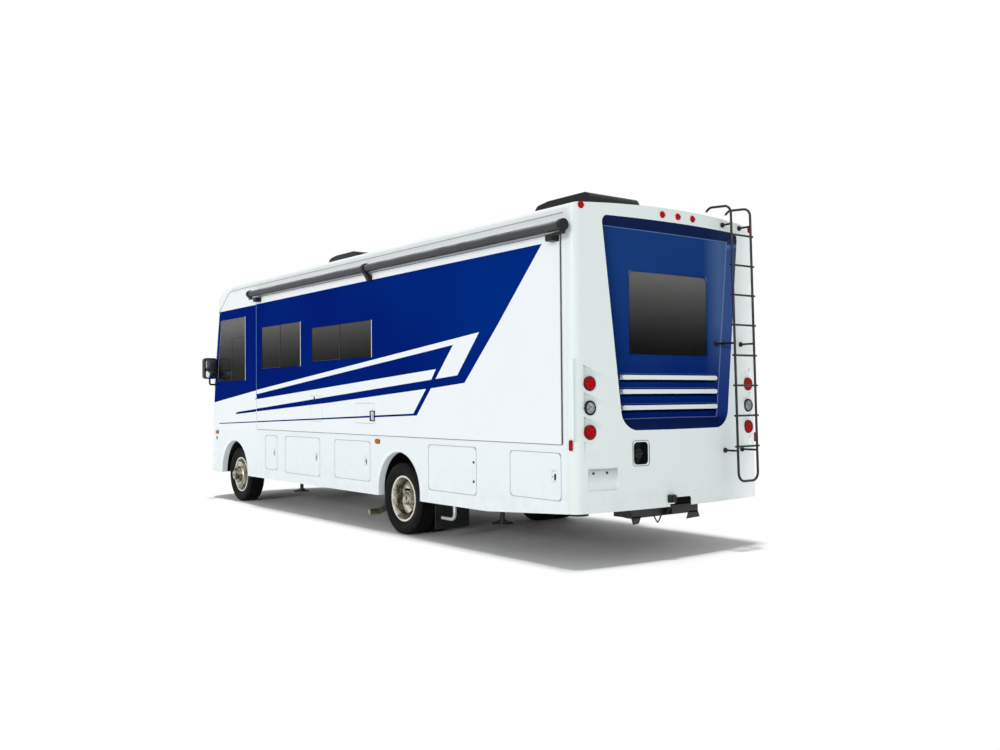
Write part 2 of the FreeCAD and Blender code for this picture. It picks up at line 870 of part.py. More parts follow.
def grille():
    """A frame and level bars that follow the bow of the nose."""
    outer = rectangle(-grille_half, grille_half, grille_low_z, grille_high_z, seat_gap)
    inner = rectangle(-grille_half, grille_half, grille_low_z, grille_high_z, grille_frame)
    reach = nose_x + overrun
    ring = slab("x", seam_low_x, reach, outer, grille_round)
    ring = ring.cut(slab("x", seam_low_x, reach, inner, grille_round - grille_frame))
    clear = grille_high_z - grille_low_z - 2 * grille_frame
    pitch = clear / (grille_bars + 1)
    bars = [box(seam_low_x, reach, -grille_half + grille_frame, grille_half - grille_frame,
                z - grille_bar_height / 2, z + grille_bar_height / 2)
            for z in (grille_low_z + grille_frame + pitch * (i + 1) for i in range(grille_bars))]
    return front_band(0.0, cap_thickness, fuse([ring] + bars))


def rear_cap():
    """The moulded rear end, with the sunk centre panel, its ribs and the lower pockets."""
    filler = rectangle(filler_low_y, filler_high_y, filler_low_z, filler_high_z)
    plate = rectangle(plate_low_y, plate_high_y, plate_low_z, plate_high_z)
    pockets = ((filler, filler_round, filler_depth), (plate, plate_round, plate_depth))
    low = rear_cap_bottom_z
    outer = rear_form(0.0).common(coach_section(rear_wall_x - overrun, rear_seam_x, low))
    inner = rear_form(cap_thickness).common(
        coach_section(rear_wall_x - overrun, rear_seam_x + overrun, low - overrun, cap_thickness))
    for points, radii, depth in pockets:
        outer = outer.cut(pocket(points, radii, depth))
        inner = inner.cut(pocket(points, radii, depth + cap_thickness, cap_thickness))
    folds = [(z, side) for z in fold_heights_z for side in (-1, 1)]
    outer = outer.cut([sunk_panel(recess_depth, 0.0)] + [lamp_fold(z, side, 0.0) for z, side in folds])
    inner = inner.cut([sunk_panel(recess_depth + cap_thickness, cap_thickness)] +
                      [lamp_fold(z, side, cap_thickness) for z, side in folds])
    shell = outer.cut(inner)
    reach = rear_wall_x - overrun
    window = rectangle(-rear_window_half, rear_window_half, rear_window_low_z, rear_window_high_z)
    tools = [slab("x", reach, rear_seam_x, window, rear_window_round)]
    for z in (stop_lamp_z, reverse_lamp_z, tail_lamp_z):
        for y in (-lamp_y, lamp_y):
            tools.append(rod(lamp_radius + seat_gap, vec(reach, y, z), vec(rear_seam_x, y, z)))
    notch = rectangle(-tow_notch_half, tow_notch_half, low - 2 * tow_notch_round, tow_notch_top_z)
    tools.append(slab("x", reach, rear_seam_x + overrun, notch, tow_notch_round))
    shell = shell.cut(tools)
    floor_form = rear_form(0.0, recess_depth, overrun * 3)
    rib_form = rear_form(0.0, recess_depth - rib_stand, overrun * 3)
    ribs = []
    for z in rib_heights_z:
        bar_points = rectangle(-rib_half, rib_half, z - rib_height / 2, z + rib_height / 2)
        rib = slab("x", reach, rear_seam_x, bar_points, rib_height / 2 - seat_gap)
        ribs.append(rib.common(rib_form).cut(floor_form))
    return fuse([shell] + ribs)


def lamp_disc(side, z):
    face_x = face_x_at(lamp_y)
    return rod(lamp_radius, vec(face_x - lamp_stand, side * lamp_y, z),
               vec(face_x + lamp_depth, side * lamp_y, z))


def roof_marker(y):
    face_x = face_x_at(y)
    block = box(face_x - marker_stand, face_x + marker_stand, y - marker_length / 2,
                y + marker_length / 2, marker_z - marker_height / 2, marker_z + marker_height / 2)
    return block.cut(rear_form(0.0, -seat_gap))


def red_lamps():
    """Stop and tail lamps and the five markers along the rear roof edge."""
    lamps = [lamp_disc(side, z) for side in (-1, 1) for z in (stop_lamp_z, tail_lamp_z)]
    lamps += [roof_marker(y) for y in marker_y_places]
    return Part.makeCompound(lamps)


def clear_lamps():
    """Reversing lamps and headlamps."""
    lens = slab("x", seam_low_x, nose_x + overrun, headlamp_points(seat_gap), headlamp_round)
    head = front_band(0.0, cap_thickness, lens)
    return Part.makeCompound([head, mirrored(head)] +
                             [lamp_disc(side, reverse_lamp_z) for side in (-1, 1)])


def roof():
    """The crowned roof panel with its rounded shoulders."""
    outer = coach_section(rear_seam_x, seam_roof_x, wall_top_z)
    inner = coach_section(rear_seam_x - overrun, seam_roof_x + overrun, wall_top_z - overrun,
                          wall_thickness)
    return outer.cut(inner)


def left_wall():
    """The driver's side wall around the slide-out's opening."""
    wall = slab("y", inner_half, half_width, seam_outline())
    opening = box(slide_rear_x + slide_lap, slide_front_x - slide_lap, inner_half - overrun,
                  half_width + overrun, slide_low_z + slide_lap, slide_high_z - slide_lap)
    window = slab("y", inner_half - overrun, half_width + overrun, cab_window_points(),
                  cab_window_round)
    return wall.cut([opening, window])


def right_wall():
    """The entry side wall with its windows and doorway."""
    wall = slab("y", -half_width, -inner_half, seam_outline())
    low, high = -half_width - overrun, -inner_half + overrun
    tools = [slab("y", low, high, cab_window_points(), cab_window_round)]
    for x0, x1, z0, z1 in right_windows:
        tools.append(slab("y", low, high, rectangle(x0, x1, z0, z1), slide_window_round))
    tools.append(slab("y", low, high,
                      rectangle(entry_rear_x, entry_front_x, entry_low_z, entry_high_z),
                      entry_round))
    return wall.cut(tools)


def pane(y_outer, side, points, radius):
    """A sheet of glass just inside a wall's outer face."""
    return slab("y", y_outer - side * glass_inset, y_outer - side * (glass_inset + glass_thickness),
                points, radius)


def coach_glass():
    """Cab side windows, right-hand windows and the rear window."""
    left = pane(half_width, 1, cab_window_points(seat_gap), cab_window_round)
    panes = [left, mirrored(left)]
    for x0, x1, z0, z1 in right_windows:
        panes.append(pane(-half_width, -1, rectangle(x0, x1, z0, z1, seat_gap),
                          slide_window_round))
    window = slab("x", rear_wall_x - overrun, rear_seam_x,
                  rectangle(-rear_window_half, rear_window_half, rear_window_low_z,
                            rear_window_high_z, seat_gap), rear_window_round)
    start = recess_depth + cap_thickness - glass_thickness
    rear = window.common(rear_form(0.0, start, overrun)).cut(
        rear_form(0.0, start + glass_thickness, overrun * 3))
    panes.append(rear)
    return Part.makeCompound(panes)


def arch_wire(axle_x, size, centre_z, low_z, y):
    """Half a circle over the wheel with straight sides down to a level."""
    top = vec(axle_x, y, centre_z + size)
    left = vec(axle_x - size, y, centre_z)
    right = vec(axle_x + size, y, centre_z)
    left_foot = vec(axle_x - size, y, low_z)
    right_foot = vec(axle_x + size, y, low_z)
    return Part.Wire([
        Part.LineSegment(left_foot, left).toShape(),
        Part.Arc(left, top, right).toShape(),
        Part.LineSegment(right, right_foot).toShape(),
        Part.LineSegment(right_foot, left_foot).toShape(),
    ])


def arch(axle_x, radius, centre_z, low_z, y0, y1, grow=0.0):
    """The space over a wheel, as a round-topped bar across the coach."""
    wire = arch_wire(axle_x, radius + grow, centre_z, low_z, y0)
    return Part.Face(wire).extrude(vec(0, y1 - y0, 0))


def arch_flared(axle_x, radius, centre_z):
    """The bevel round an arch's outer edge, widest at the face."""
    low = skirt_bottom_z - overrun
    inner = arch_wire(axle_x, radius, centre_z, low, half_width - arch_flare_depth)
    outer = arch_wire(axle_x, radius + 2 * arch_flare, centre_z, low, half_width + arch_flare_depth)
    return Part.makeLoft([inner, outer], True, True)


arches = (
    (front_axle_x, front_arch_radius, front_arch_z, front_well_inner_y),
    (0.0, rear_arch_radius, rear_arch_z, rear_well_inner_y),
)


def skirt(bays, entry):
    """The lower side panel on the left, with its bay openings and lipped wheel arches."""
    inner = half_width - skirt_thickness
    rise_x = rear_wall_x * (rear_arch_radius + half_width) / rear_wall_behind_axle
    panel = slab("y", inner, half_width, (
        (rise_x, skirt_bottom_z),
        (seam_low_x, skirt_bottom_z),
        (seam_low_x, belt_z),
        (rear_seam_x, belt_z),
        (rear_seam_x, skirt_bottom_z + rear_skirt_rise),
    ))
    low = skirt_bottom_z - overrun
    tools = [slab("y", inner - overrun, half_width + overrun, rectangle(x0, x1, z0, z1), bay_round)
             for x0, x1, z0, z1 in bays]
    if entry:
        tools.append(slab("y", inner - overrun, half_width + overrun,
                          rectangle(entry_rear_x, entry_front_x, entry_low_z, entry_high_z),
                          entry_round))
    lips = []
    for axle_x, radius, centre_z, well_y in arches:
        tools.append(arch(axle_x, radius, centre_z, low, inner - overrun, half_width + overrun))
        lip = arch(axle_x, radius, centre_z, skirt_bottom_z, half_width - arch_lip_depth, half_width,
                   arch_lip_wall)
        lips.append(lip.cut(arch(axle_x, radius, centre_z, low, inner - 2 * arch_lip_depth,
                                 half_width + overrun)))
    return fuse([panel.cut(tools)] + lips).cut([arch_flared(*place[:3]) for place in arches])


def bay_door(bay, side):
    """A side-hinged compartment door with its round latch near the rear edge."""
    x0, x1, z0, z1 = bay
    inner = half_width - skirt_thickness
    panel = slab("y", inner, half_width, rectangle(x0, x1, z0, z1, run_gap), bay_round - run_gap)
    latch_x = x0 + latch_inset
    latch_z = (z0 + z1) / 2
    latch = rod(latch_radius, vec(latch_x, inner + latch_stand, latch_z),
                vec(latch_x, half_width + latch_stand, latch_z))
    door = fuse([panel, latch])
    return door if side > 0 else mirrored(door)


def bay_box(bay):
    """A sheet-metal compartment behind a bay door, with a flange that the door closes on."""
    x0, x1, z0, z1 = bay
    face = half_width - skirt_thickness - seat_gap
    back = face - bay_depth
    hole = rectangle(x0, x1, z0, z1, bay_lip)
    flange = slab("y", face - bay_flange, face, rectangle(x0, x1, z0, z1, -bay_lip), bay_round)
    flange = flange.cut(slab("y", face - overrun, face + overrun, hole, bay_round - bay_lip / 2))
    low = z0
    shell = box(x0, x1, back, face - bay_flange, low, deck_low_z)
    hollow = box(x0 + bay_wall, x1 - bay_wall, back + bay_wall, face + overrun, low + bay_wall,
                 deck_low_z - bay_wall)
    return fuse([shell.cut(hollow), flange.common(box(x0 - overrun, x1 + overrun, back, half_width,
                                                       low - overrun, deck_low_z))])


def cargo_bays():
    left = [bay_box(bay) for bay in left_bays[:-1]]
    right = [mirrored(bay_box(bay)) for bay in right_bays]
    return Part.makeCompound(left + right)


def entry_door():
    """The entry door, with its window opening and grab handle."""
    points = rectangle(entry_rear_x, entry_front_x, entry_low_z, entry_high_z, run_gap)
    door = slab("y", -half_width, -inner_half, points, entry_round - run_gap)
    handle_x = entry_rear_x + entry_window_margin / 2
    handle = rod(latch_radius, vec(handle_x, -half_width - latch_stand * 2, entry_handle_z),
                 vec(handle_x, -half_width + latch_stand, entry_handle_z))
    return fuse([door.cut(entry_glass_tool(0.0)), handle])


def entry_glass_tool(inset):
    points = rectangle(entry_rear_x + entry_window_margin, entry_front_x - entry_window_margin,
                       entry_window_low_z, entry_high_z - entry_window_margin, inset)
    return slab("y", -half_width - overrun, -inner_half + overrun, points, slide_window_round)


def entry_door_glass():
    layer = box(entry_rear_x, entry_front_x, -half_width + glass_inset,
                -half_width + glass_inset + glass_thickness, entry_low_z, entry_high_z)
    return entry_glass_tool(seat_gap).common(layer)


def slide_box_bounds():
    """The room's box inside its opening: rear, front, low and high."""
    gap = slide_lap + slide_clearance
    return (slide_rear_x + gap, slide_front_x - gap, slide_low_z + gap, slide_high_z - gap)


def slide_room():
    """The slide-out: a fascia that laps the wall and a room open towards the cabin."""
    x0, x1, z0, z1 = slide_box_bounds()
    face = half_width + seat_gap
    fascia = slab("y", face, half_width + slide_face_stand,
                  rectangle(slide_rear_x, slide_front_x, slide_low_z, slide_high_z))
    inner_face = half_width + slide_face_stand - wall_thickness
    room = box(x0, x1, half_width - slide_depth, face, z0, z1)
    hollow = box(x0 + slide_wall, x1 - slide_wall, half_width - slide_depth - overrun, inner_face,
                 z0 + slide_wall, z1 - slide_wall)
    tools = [slab("y", inner_face - overrun, half_width + overrun, rectangle(a, b, c, d),
                  slide_window_round) for a, b, c, d in slide_windows]
    for a, b, c, d in (hatch_front, hatch_rear):
        tools.append(slab("y", half_width + slide_face_stand - hatch_thickness - seat_gap,
                          half_width + overrun, rectangle(a, b, c, d), hatch_round))
    return fuse([fascia, room.cut(hollow)]).cut(tools)


def slide_glass():
    panes = [pane(half_width + slide_face_stand, 1, rectangle(a, b, c, d, seat_gap),
                  slide_window_round) for a, b, c, d in slide_windows]
    return Part.makeCompound(panes)


def slide_hatch(bounds, latch_x, latch_z):
    """A small access door set flush in the slide-out's fascia."""
    a, b, c, d = bounds
    face = half_width + slide_face_stand
    panel = slab("y", face - hatch_thickness, face, rectangle(a, b, c, d, run_gap),
                 hatch_round - run_gap)
    latch = rod(hatch_latch_radius, vec(latch_x, face - hatch_latch_stand, latch_z),
                vec(latch_x, face + hatch_latch_stand, latch_z))
    return fuse([panel, latch])


def topper_cradle():
    """The middle bracket: an arm up from the fascia and a ring round the roller."""
    face = half_width + slide_face_stand
    x0 = topper_centre_x - topper_cradle_width / 2
    x1 = topper_centre_x + topper_cradle_width / 2
    arm = slab("x", x0, x1, (
        (face, topper_cradle_low_z),
        (face + topper_radius, topper_cradle_low_z),
        (topper_y + topper_radius / 2, topper_z - topper_radius),
        (topper_y - topper_radius / 2, topper_z - topper_radius),
        (face, topper_z - 2 * topper_radius),
    ))
    ring = rod(topper_radius + topper_ring_wall, vec(x0, topper_y, topper_z), vec(x1, topper_y, topper_z))
    bore = rod(topper_radius + seat_gap, vec(x0 - overrun, topper_y, topper_z),
               vec(x1 + overrun, topper_y, topper_z))
    return fuse([arm, ring]).cut(bore)


def topper_end(end_x, inward):
    """A roller end cap, the flat link down from it and its foot on the fascia."""
    face = half_width + slide_face_stand
    cap_x = end_x + inward * topper_cap_length
    foot_x = end_x + inward * topper_foot_inset
    foot_y = topper_y + topper_link_thickness
    low = topper_z - topper_cap_radius - topper_link_height
    cap = rod(topper_cap_radius, vec(end_x, topper_y, topper_z), vec(cap_x, topper_y, topper_z))
    link = slab("y", topper_y - topper_link_thickness, foot_y, (
        (end_x, topper_z), (cap_x, topper_z), (cap_x, low + topper_link_height),
        (foot_x, topper_foot_high_z), (foot_x, topper_foot_high_z - topper_link_height), (end_x, low)))
    foot = box(foot_x - topper_foot_half, foot_x + topper_foot_half, face, foot_y,
               topper_foot_low_z, topper_foot_high_z)
    return fuse([cap, link, foot])


def topper():
    """Roller ends with their feet, and the middle cradle of the slide-out's awning."""
    return Part.makeCompound([topper_end(topper_rear_x, 1), topper_end(topper_front_x, -1),
                              topper_cradle()])


def topper_fabric():
    """The fabric wound on its roller."""
    return rod(topper_radius, vec(topper_rear_x + topper_cap_length, topper_y, topper_z),
               vec(topper_front_x - topper_cap_length, topper_y, topper_z))


def floor():
    """The floor deck, cut out over the entry steps."""
    rear = rear_seam_x
    front = seam_low_x - deck_thickness
    edge = inner_half - seat_gap
    deck = box(rear, front, -edge, edge, deck_low_z, deck_top_z)
    well = box(entry_rear_x, entry_front_x, -edge - overrun, -edge + step_well_depth,
               deck_low_z - overrun, deck_top_z + overrun)
    return deck.cut(well)


def rail():
    """One long channel of the frame, open towards the middle."""
    web = box(frame_rear_x, frame_front_x, rail_y - rail_web, rail_y, rail_bottom_z, rail_top_z)
    low = box(frame_rear_x, frame_front_x, rail_y - rail_flange, rail_y, rail_bottom_z,
              rail_bottom_z + rail_web)
    high = box(frame_rear_x, frame_front_x, rail_y - rail_flange, rail_y, rail_top_z - rail_web,
               rail_top_z)
    risers = [box(x - riser_length / 2, x + riser_length / 2, rail_y - rail_flange, rail_y,
                  rail_top_z, deck_low_z) for x in cross_member_places]
    return fuse([web, low, high] + risers)


def chassis_frame():
    """Ladder frame, body risers and the tow hitch."""
    pieces = [rail(), mirrored(rail())]
    for x in cross_member_places:
        if engine_rear_x - overrun < x < engine_front_x + overrun:
            continue
        pieces.append(box(x - cross_member_width / 2, x + cross_member_width / 2, -rail_y + rail_web,
                          rail_y - rail_web, rail_top_z - rail_web - cross_member_height / 3,
                          rail_top_z - rail_web))
    bar_front = hitch_x + hitch_tube / 2
    bar_rear = hitch_x - hitch_tube / 2
    pieces.append(box(bar_rear, bar_front, -hitch_half, hitch_half, hitch_low_z,
                      hitch_low_z + hitch_tube))
    for side in (-1, 1):
        y = side * (rail_y + rail_web / 2)
        pieces.append(box(bar_rear, bar_front + 2 * hitch_tube, y - rail_web, y + rail_web,
                          hitch_low_z, rail_top_z))
    rear = bar_rear - receiver_stand
    z = hitch_low_z + hitch_tube / 2
    half = receiver_outer / 2
    pieces.append(box(rear, rear + receiver_length, -half, half, z - half, z + half))
    frame = fuse(pieces)
    half = receiver_inner / 2
    slot = box(rear - overrun, rear + receiver_length - overrun, -half, half, z - half, z + half)
    pin = rod(hitch_pin_radius, vec(rear + hitch_pin_inset, -receiver_outer, z),
              vec(rear + hitch_pin_inset, receiver_outer, z))
    return frame.cut([slot, pin])


def tyre(y):
    """A road tyre: flat crown, slanted shoulders, bulged walls and a bead seat."""
    half = tyre_width / 2
    side = [
        (bead_half, bead_radius), (bead_half, rim_flange_radius + seat_gap),
        (half, (rim_flange_radius + tyre_radius) / 2), (half, tyre_radius - tyre_shoulder),
        (half * tyre_crown_share, tyre_radius),
    ]
    points = [vec(0, y + a, r) for a, r in side] + [vec(0, y - a, r) for a, r in reversed(side)]
    return Part.Face(Part.makePolygon(points + points[:1])).revolve(vec(0, 0, 0), vec(0, 1, 0), 360)


def rim(y, out):
    """A pressed wheel: flanges, drop-centre barrel and a dished disc towards out."""
    def ring(profile):
        wire = Part.makePolygon([vec(0, y + out * a, r) for a, r in profile + [profile[0]]])
        return Part.Face(wire).revolve(vec(0, 0, 0), vec(0, 1, 0), 360)

    barrel = ring([
        (-rim_half, rim_flange_radius), (-rim_half + rim_wall, rim_flange_radius),
        (-rim_half + rim_wall, bead_radius - seat_gap), (rim_half - rim_wall, bead_radius - seat_gap),
        (rim_half - rim_wall, rim_flange_radius), (rim_half, rim_flange_radius),
        (rim_half, bead_radius - rim_wall), (rim_half / 2, rim_well_radius),
        (-rim_half / 2, rim_well_radius), (-rim_half, bead_radius - rim_wall),
    ])
    disc = ring([
        (rim_half / 4, rim_well_radius + seat_gap), (disc_offset - disc_wall, disc_radius),
        (disc_offset - disc_wall, spindle_radius + spindle_gap),
        (disc_offset, spindle_radius + spindle_gap), (disc_offset, disc_radius),
        (rim_half / 4 + disc_wall * 2, rim_well_radius + seat_gap),
    ])
    holes = []
    for i in range(hand_holes):
        angle = 2 * math.pi * (i + 1 / 2) / hand_holes
        x, z = hand_hole_ring * math.cos(angle), hand_hole_ring * math.sin(angle)
        holes.append(rod(hand_hole_radius, vec(x, y, z), vec(x, y + out * disc_offset * 2, z)))
    return fuse([barrel, disc.cut(holes)])


def front_rim():
    """The front wheel with its hub and drum, on the left at the axle line."""
    y = front_rim_y
    face = y + disc_offset
    hub = cone(hub_radius, front_hub_end_radius, vec(0, face - disc_wall, 0),
               vec(0, face + front_hub_stand, 0))
    drum = rod(drum_radius, vec(0, face - disc_wall, 0), vec(0, face - disc_wall - drum_depth, 0))
    drum_hollow = rod(drum_radius - disc_wall, vec(0, face - disc_wall * 2, 0),
                      vec(0, face - drum_depth - overrun, 0))
    solid = fuse([rim(y, 1), hub, drum.cut(drum_hollow)])
    bore = rod(spindle_radius + spindle_gap, vec(0, face - drum_depth * 2, 0),
               vec(0, face + disc_wall, 0))
    return solid.cut(bore)


def rear_rims():
    """Two rims back to back on one hub and drum, on the left at the axle line."""
    face = dual_face_y
    inner_y = rear_rim_y - dual_spacing
    inner_face = inner_y + disc_offset
    hub = cone(rear_hub_root_radius, hub_radius, vec(0, inner_face - disc_wall * 3, 0),
               vec(0, face + rear_hub_stand, 0))
    plate = rod(disc_radius, vec(0, inner_face - disc_wall, 0), vec(0, face + disc_wall, 0))
    drum = rod(drum_radius, vec(0, inner_face - disc_wall, 0),
               vec(0, inner_face - disc_wall - drum_depth, 0))
    drum_hollow = rod(drum_radius - disc_wall, vec(0, inner_face - disc_wall * 2, 0),
                      vec(0, inner_face - drum_depth - overrun, 0))
    solid = fuse([rim(rear_rim_y, -1), rim(inner_y, 1), plate, hub, drum.cut(drum_hollow)])
    bore = rod(spindle_radius + spindle_gap, vec(0, inner_face - drum_depth * 2, 0),
               vec(0, face + disc_wall, 0))
    return solid.cut(bore)


def at_axle(shape, axle_x):
    moved = shape.copy()
    moved.translate(vec(axle_x, 0, wheel_z))
    return moved


def wheels():
    """Tyres and rims of both axles, each side its own node."""
    front_tyre = at_axle(tyre(front_rim_y), front_axle_x)
    rear_tyres = at_axle(Part.makeCompound([tyre(rear_rim_y), tyre(rear_rim_y - dual_spacing)]), 0)
    front = at_axle(front_rim(), front_axle_x)
    rear = at_axle(rear_rims(), 0)
    return {
        "front_left_tyre": front_tyre, "front_right_tyre": mirrored(front_tyre),
        "rear_left_tyres": rear_tyres, "rear_right_tyres": mirrored(rear_tyres),
        "front_left_rim": front, "front_right_rim": mirrored(front),
        "rear_left_rims": rear, "rear_right_rims": mirrored(rear),
    }


def knuckle():
    """The left steering knuckle: fork, kingpin, spindle and steering arm."""
    x, z = front_axle_x, wheel_z
    half = kingpin_boss_half
    pin = rod(kingpin_radius, vec(x, kingpin_y, z - half - knuckle_lug),
              vec(x, kingpin_y, z + half + knuckle_lug))
    lug_high = rod(kingpin_boss, vec(x, kingpin_y, z + half + seat_gap),
                   vec(x, kingpin_y, z + half + knuckle_lug))
    lug_low = rod(kingpin_boss, vec(x, kingpin_y, z - half - knuckle_lug),
                  vec(x, kingpin_y, z - half - seat_gap))
    plate_y = kingpin_y + kingpin_boss + run_gap
    plate = box(x - kingpin_boss, x + kingpin_boss, plate_y, plate_y + knuckle_lug,
                z - half - knuckle_lug, z + half + knuckle_lug)
    ears = [box(x - kingpin_boss / 2, x + kingpin_boss / 2, kingpin_y, plate_y + seat_gap, low,
                low + knuckle_lug - seat_gap)
            for low in (z + half + seat_gap, z - half - knuckle_lug)]
    spindle = rod(spindle_radius, vec(x, plate_y, z),
                  vec(x, front_rim_y + disc_offset - run_gap, z))
    arm = box(x - 3 * kingpin_boss, x, kingpin_y - kingpin_radius, kingpin_y + kingpin_radius,
              z - half - knuckle_lug, z - half - seat_gap)
    return fuse([pin, lug_high, lug_low, plate, spindle, arm] + ears)


def leaf_spring(axle_x, seat_z):
    """A left leaf pack, bowed down at the axle, with its two frame brackets."""
    top = seat_z + spring_pack
    low_mid = vec(axle_x, spring_y, seat_z)
    ends_z = seat_z + spring_camber
    start = vec(axle_x - spring_half, spring_y, ends_z)
    end = vec(axle_x + spring_half, spring_y, ends_z)
    lift = vec(0, 0, spring_pack)
    wire = Part.Wire([
        Part.Arc(start, low_mid, end).toShape(),
        Part.LineSegment(end, end.add(lift)).toShape(),
        Part.Arc(end.add(lift), low_mid.add(lift), start.add(lift)).toShape(),
        Part.LineSegment(start.add(lift), start).toShape(),
    ])
    pack = Part.Face(wire).extrude(vec(0, spring_width, 0))
    pack.translate(vec(0, -spring_width / 2, 0))
    brackets = []
    for x in (axle_x - spring_half, axle_x + spring_half):
        brackets.append(box(x - spring_pack, x + spring_pack, rail_y + seat_gap,
                            spring_y + spring_width / 2, ends_z + spring_pack / 2,
                            rail_bottom_z + rail_height / 2))
    return fuse([pack] + brackets)


def front_axle():
    """The dropped I-beam between the kingpins, with its leaf springs."""
    z = wheel_z
    x0, x1 = front_axle_x - beam_width / 2, front_axle_x + beam_width / 2
    half = beam_depth / 2
    low = z - beam_drop
    points = (
        (kingpin_y, z - half), (kingpin_y, z + half), (beam_drop_half + beam_depth, z + half),
        (beam_drop_half, low + half), (-beam_drop_half, low + half),
        (-beam_drop_half - beam_depth, z + half), (-kingpin_y, z + half), (-kingpin_y, z - half),
        (-beam_drop_half - beam_depth / 2, z - half), (-beam_drop_half + beam_depth / 2, low - half),
        (beam_drop_half - beam_depth / 2, low - half), (beam_drop_half + beam_depth / 2, z - half),
    )
    beam = slab("x", x0, x1, points)
    groove = box(0, beam_width / 3, -beam_drop_half + beam_depth, beam_drop_half - beam_depth,
                 low - half / 2, low + half / 2)
    front_groove = groove.copy()
    front_groove.translate(vec(x1 - beam_width / 3, 0, 0))
    rear_groove = groove.copy()
    rear_groove.translate(vec(x0, 0, 0))
    bosses = []
    bores = []
    for y in (-kingpin_y, kingpin_y):
        bosses.append(rod(kingpin_boss, vec(front_axle_x, y, z - kingpin_boss_half),
                          vec(front_axle_x, y, z + kingpin_boss_half)))
        bores.append(rod(kingpin_radius + spindle_gap, vec(front_axle_x, y, z - 2 * half),
                         vec(front_axle_x, y, z + 2 * half)))
        bores.append(box(x0 - overrun, x1 + overrun, *sorted((math.copysign(kingpin_y + kingpin_boss, y),
                         math.copysign(kingpin_y, y))), z - half - overrun, z + half + overrun).cut(
                         rod(kingpin_boss, vec(front_axle_x, y, 0), vec(front_axle_x, y, 2 * z))))
    beam = fuse([beam.cut([front_groove, rear_groove])] + bosses).cut(bores)
    spring = leaf_spring(front_axle_x, low + half + seat_gap)
    return Part.makeCompound([beam, spring, mirrored(spring)])


def rear_axle():
    """The drive axle: tube, differential, stub ends, leaf springs and the propeller shaft."""
    inner_face = rear_rim_y - dual_spacing + disc_offset
    tube_end = inner_face - disc_wall - drum_depth - run_gap
    stub_end = dual_face_y - disc_wall
    tube = rod(rear_tube_radius, vec(0, -tube_end, wheel_z), vec(0, tube_end, wheel_z))
    stub = rod(spindle_radius, vec(0, -stub_end, wheel_z), vec(0, stub_end, wheel_z))
    case = rod(diff_radius, vec(-diff_half, 0, wheel_z), vec(diff_half, 0, wheel_z))
    nose = cone(pinion_root_radius, pinion_end_radius, vec(0, 0, wheel_z),
                vec(2 * diff_radius, 0, wheel_z + diff_radius / 6))
    shaft = rod(drive_shaft_radius, vec(2 * diff_radius - seat_gap, 0, wheel_z + diff_radius / 6),
                vec(gearbox_rear_x - run_gap, 0, shaft_z))
    body = fuse([tube, stub, case, nose, shaft])
    spring = leaf_spring(0.0, wheel_z + rear_tube_radius + seat_gap)
    return Part.makeCompound([body, spring, mirrored(spring)])


def engine():
    """The engine as one plain block, with its gearbox and the generator."""
    block = box(engine_rear_x, engine_front_x, -engine_half, engine_half, engine_low_z, engine_high_z)
    gearbox = cone(gearbox_radius / 2, gearbox_radius, vec(gearbox_rear_x, 0, shaft_z),
                   vec(engine_rear_x, 0, shaft_z))
    bay = generator_bay
    length, width, height = generator_size
    centre_x = (bay[0] + bay[1]) / 2
    back = half_width - skirt_thickness - bay_depth + bay_wall + seat_gap
    set_box = box(centre_x - length / 2, centre_x + length / 2, back, back + width,
                  bay[2] + bay_wall + seat_gap, bay[2] + bay_wall + height)
    return Part.makeCompound([fuse([block, gearbox]), set_box])


def fuel_tank():
    """The fuel tank between the rails behind the rear axle."""
    return slab("x", tank_rear_x, tank_front_x,
                rectangle(-tank_half, tank_half, tank_low_z, tank_high_z), tank_round)


def exhaust():
    """Engine exhaust with its muffler, and the generator's tailpipe."""
    start = vec(engine_rear_x - seat_gap, exhaust_y, exhaust_z)
    bend = vec(exhaust_out_x + 4 * exhaust_radius, exhaust_y, exhaust_z)
    under = vec(exhaust_out_x, rail_y, exhaust_z - 3 * exhaust_radius)
    out = vec(exhaust_out_x, exhaust_tip_y - 4 * exhaust_radius, exhaust_tip_z)
    tip = vec(exhaust_out_x, exhaust_tip_y, exhaust_tip_z)
    pipe = bar([start, bend, under, out, tip], exhaust_radius, 2 * exhaust_radius)
    muffler = rod(muffler_radius, vec(muffler_rear_x, exhaust_y, exhaust_z),
                  vec(muffler_front_x, exhaust_y, exhaust_z))
    bay_low = generator_bay[2]
    y, x, r = generator_pipe_y, generator_pipe_x, generator_pipe_radius
    tail = bar([vec(x, y, bay_low - seat_gap), vec(x, y, generator_pipe_low_z),
                vec(generator_pipe_end_x, y, generator_pipe_low_z)], r, 3 * r)
    return Part.makeCompound([fuse([pipe, muffler]), tail])


def wheel_well(axle_x, radius, centre_z, inner_y):
    """A liner over one wheel, closed on its inner side."""
    grow = arch_lip_wall + well_margin
    outer_y = half_width - skirt_thickness - seat_gap
    tub = arch(axle_x, radius, centre_z, skirt_bottom_z, inner_y, outer_y, grow + well_wall)
    size = radius + grow + well_wall
    axle_gap = box(axle_x - size, axle_x + size, inner_y - overrun, inner_y + well_wall,
                   skirt_bottom_z - overrun, wheel_z + axle_clearance)
    hollow = arch(axle_x, radius, centre_z, skirt_bottom_z - overrun, inner_y + well_wall,
                  outer_y + overrun, grow)
    return tub.cut([hollow, axle_gap])


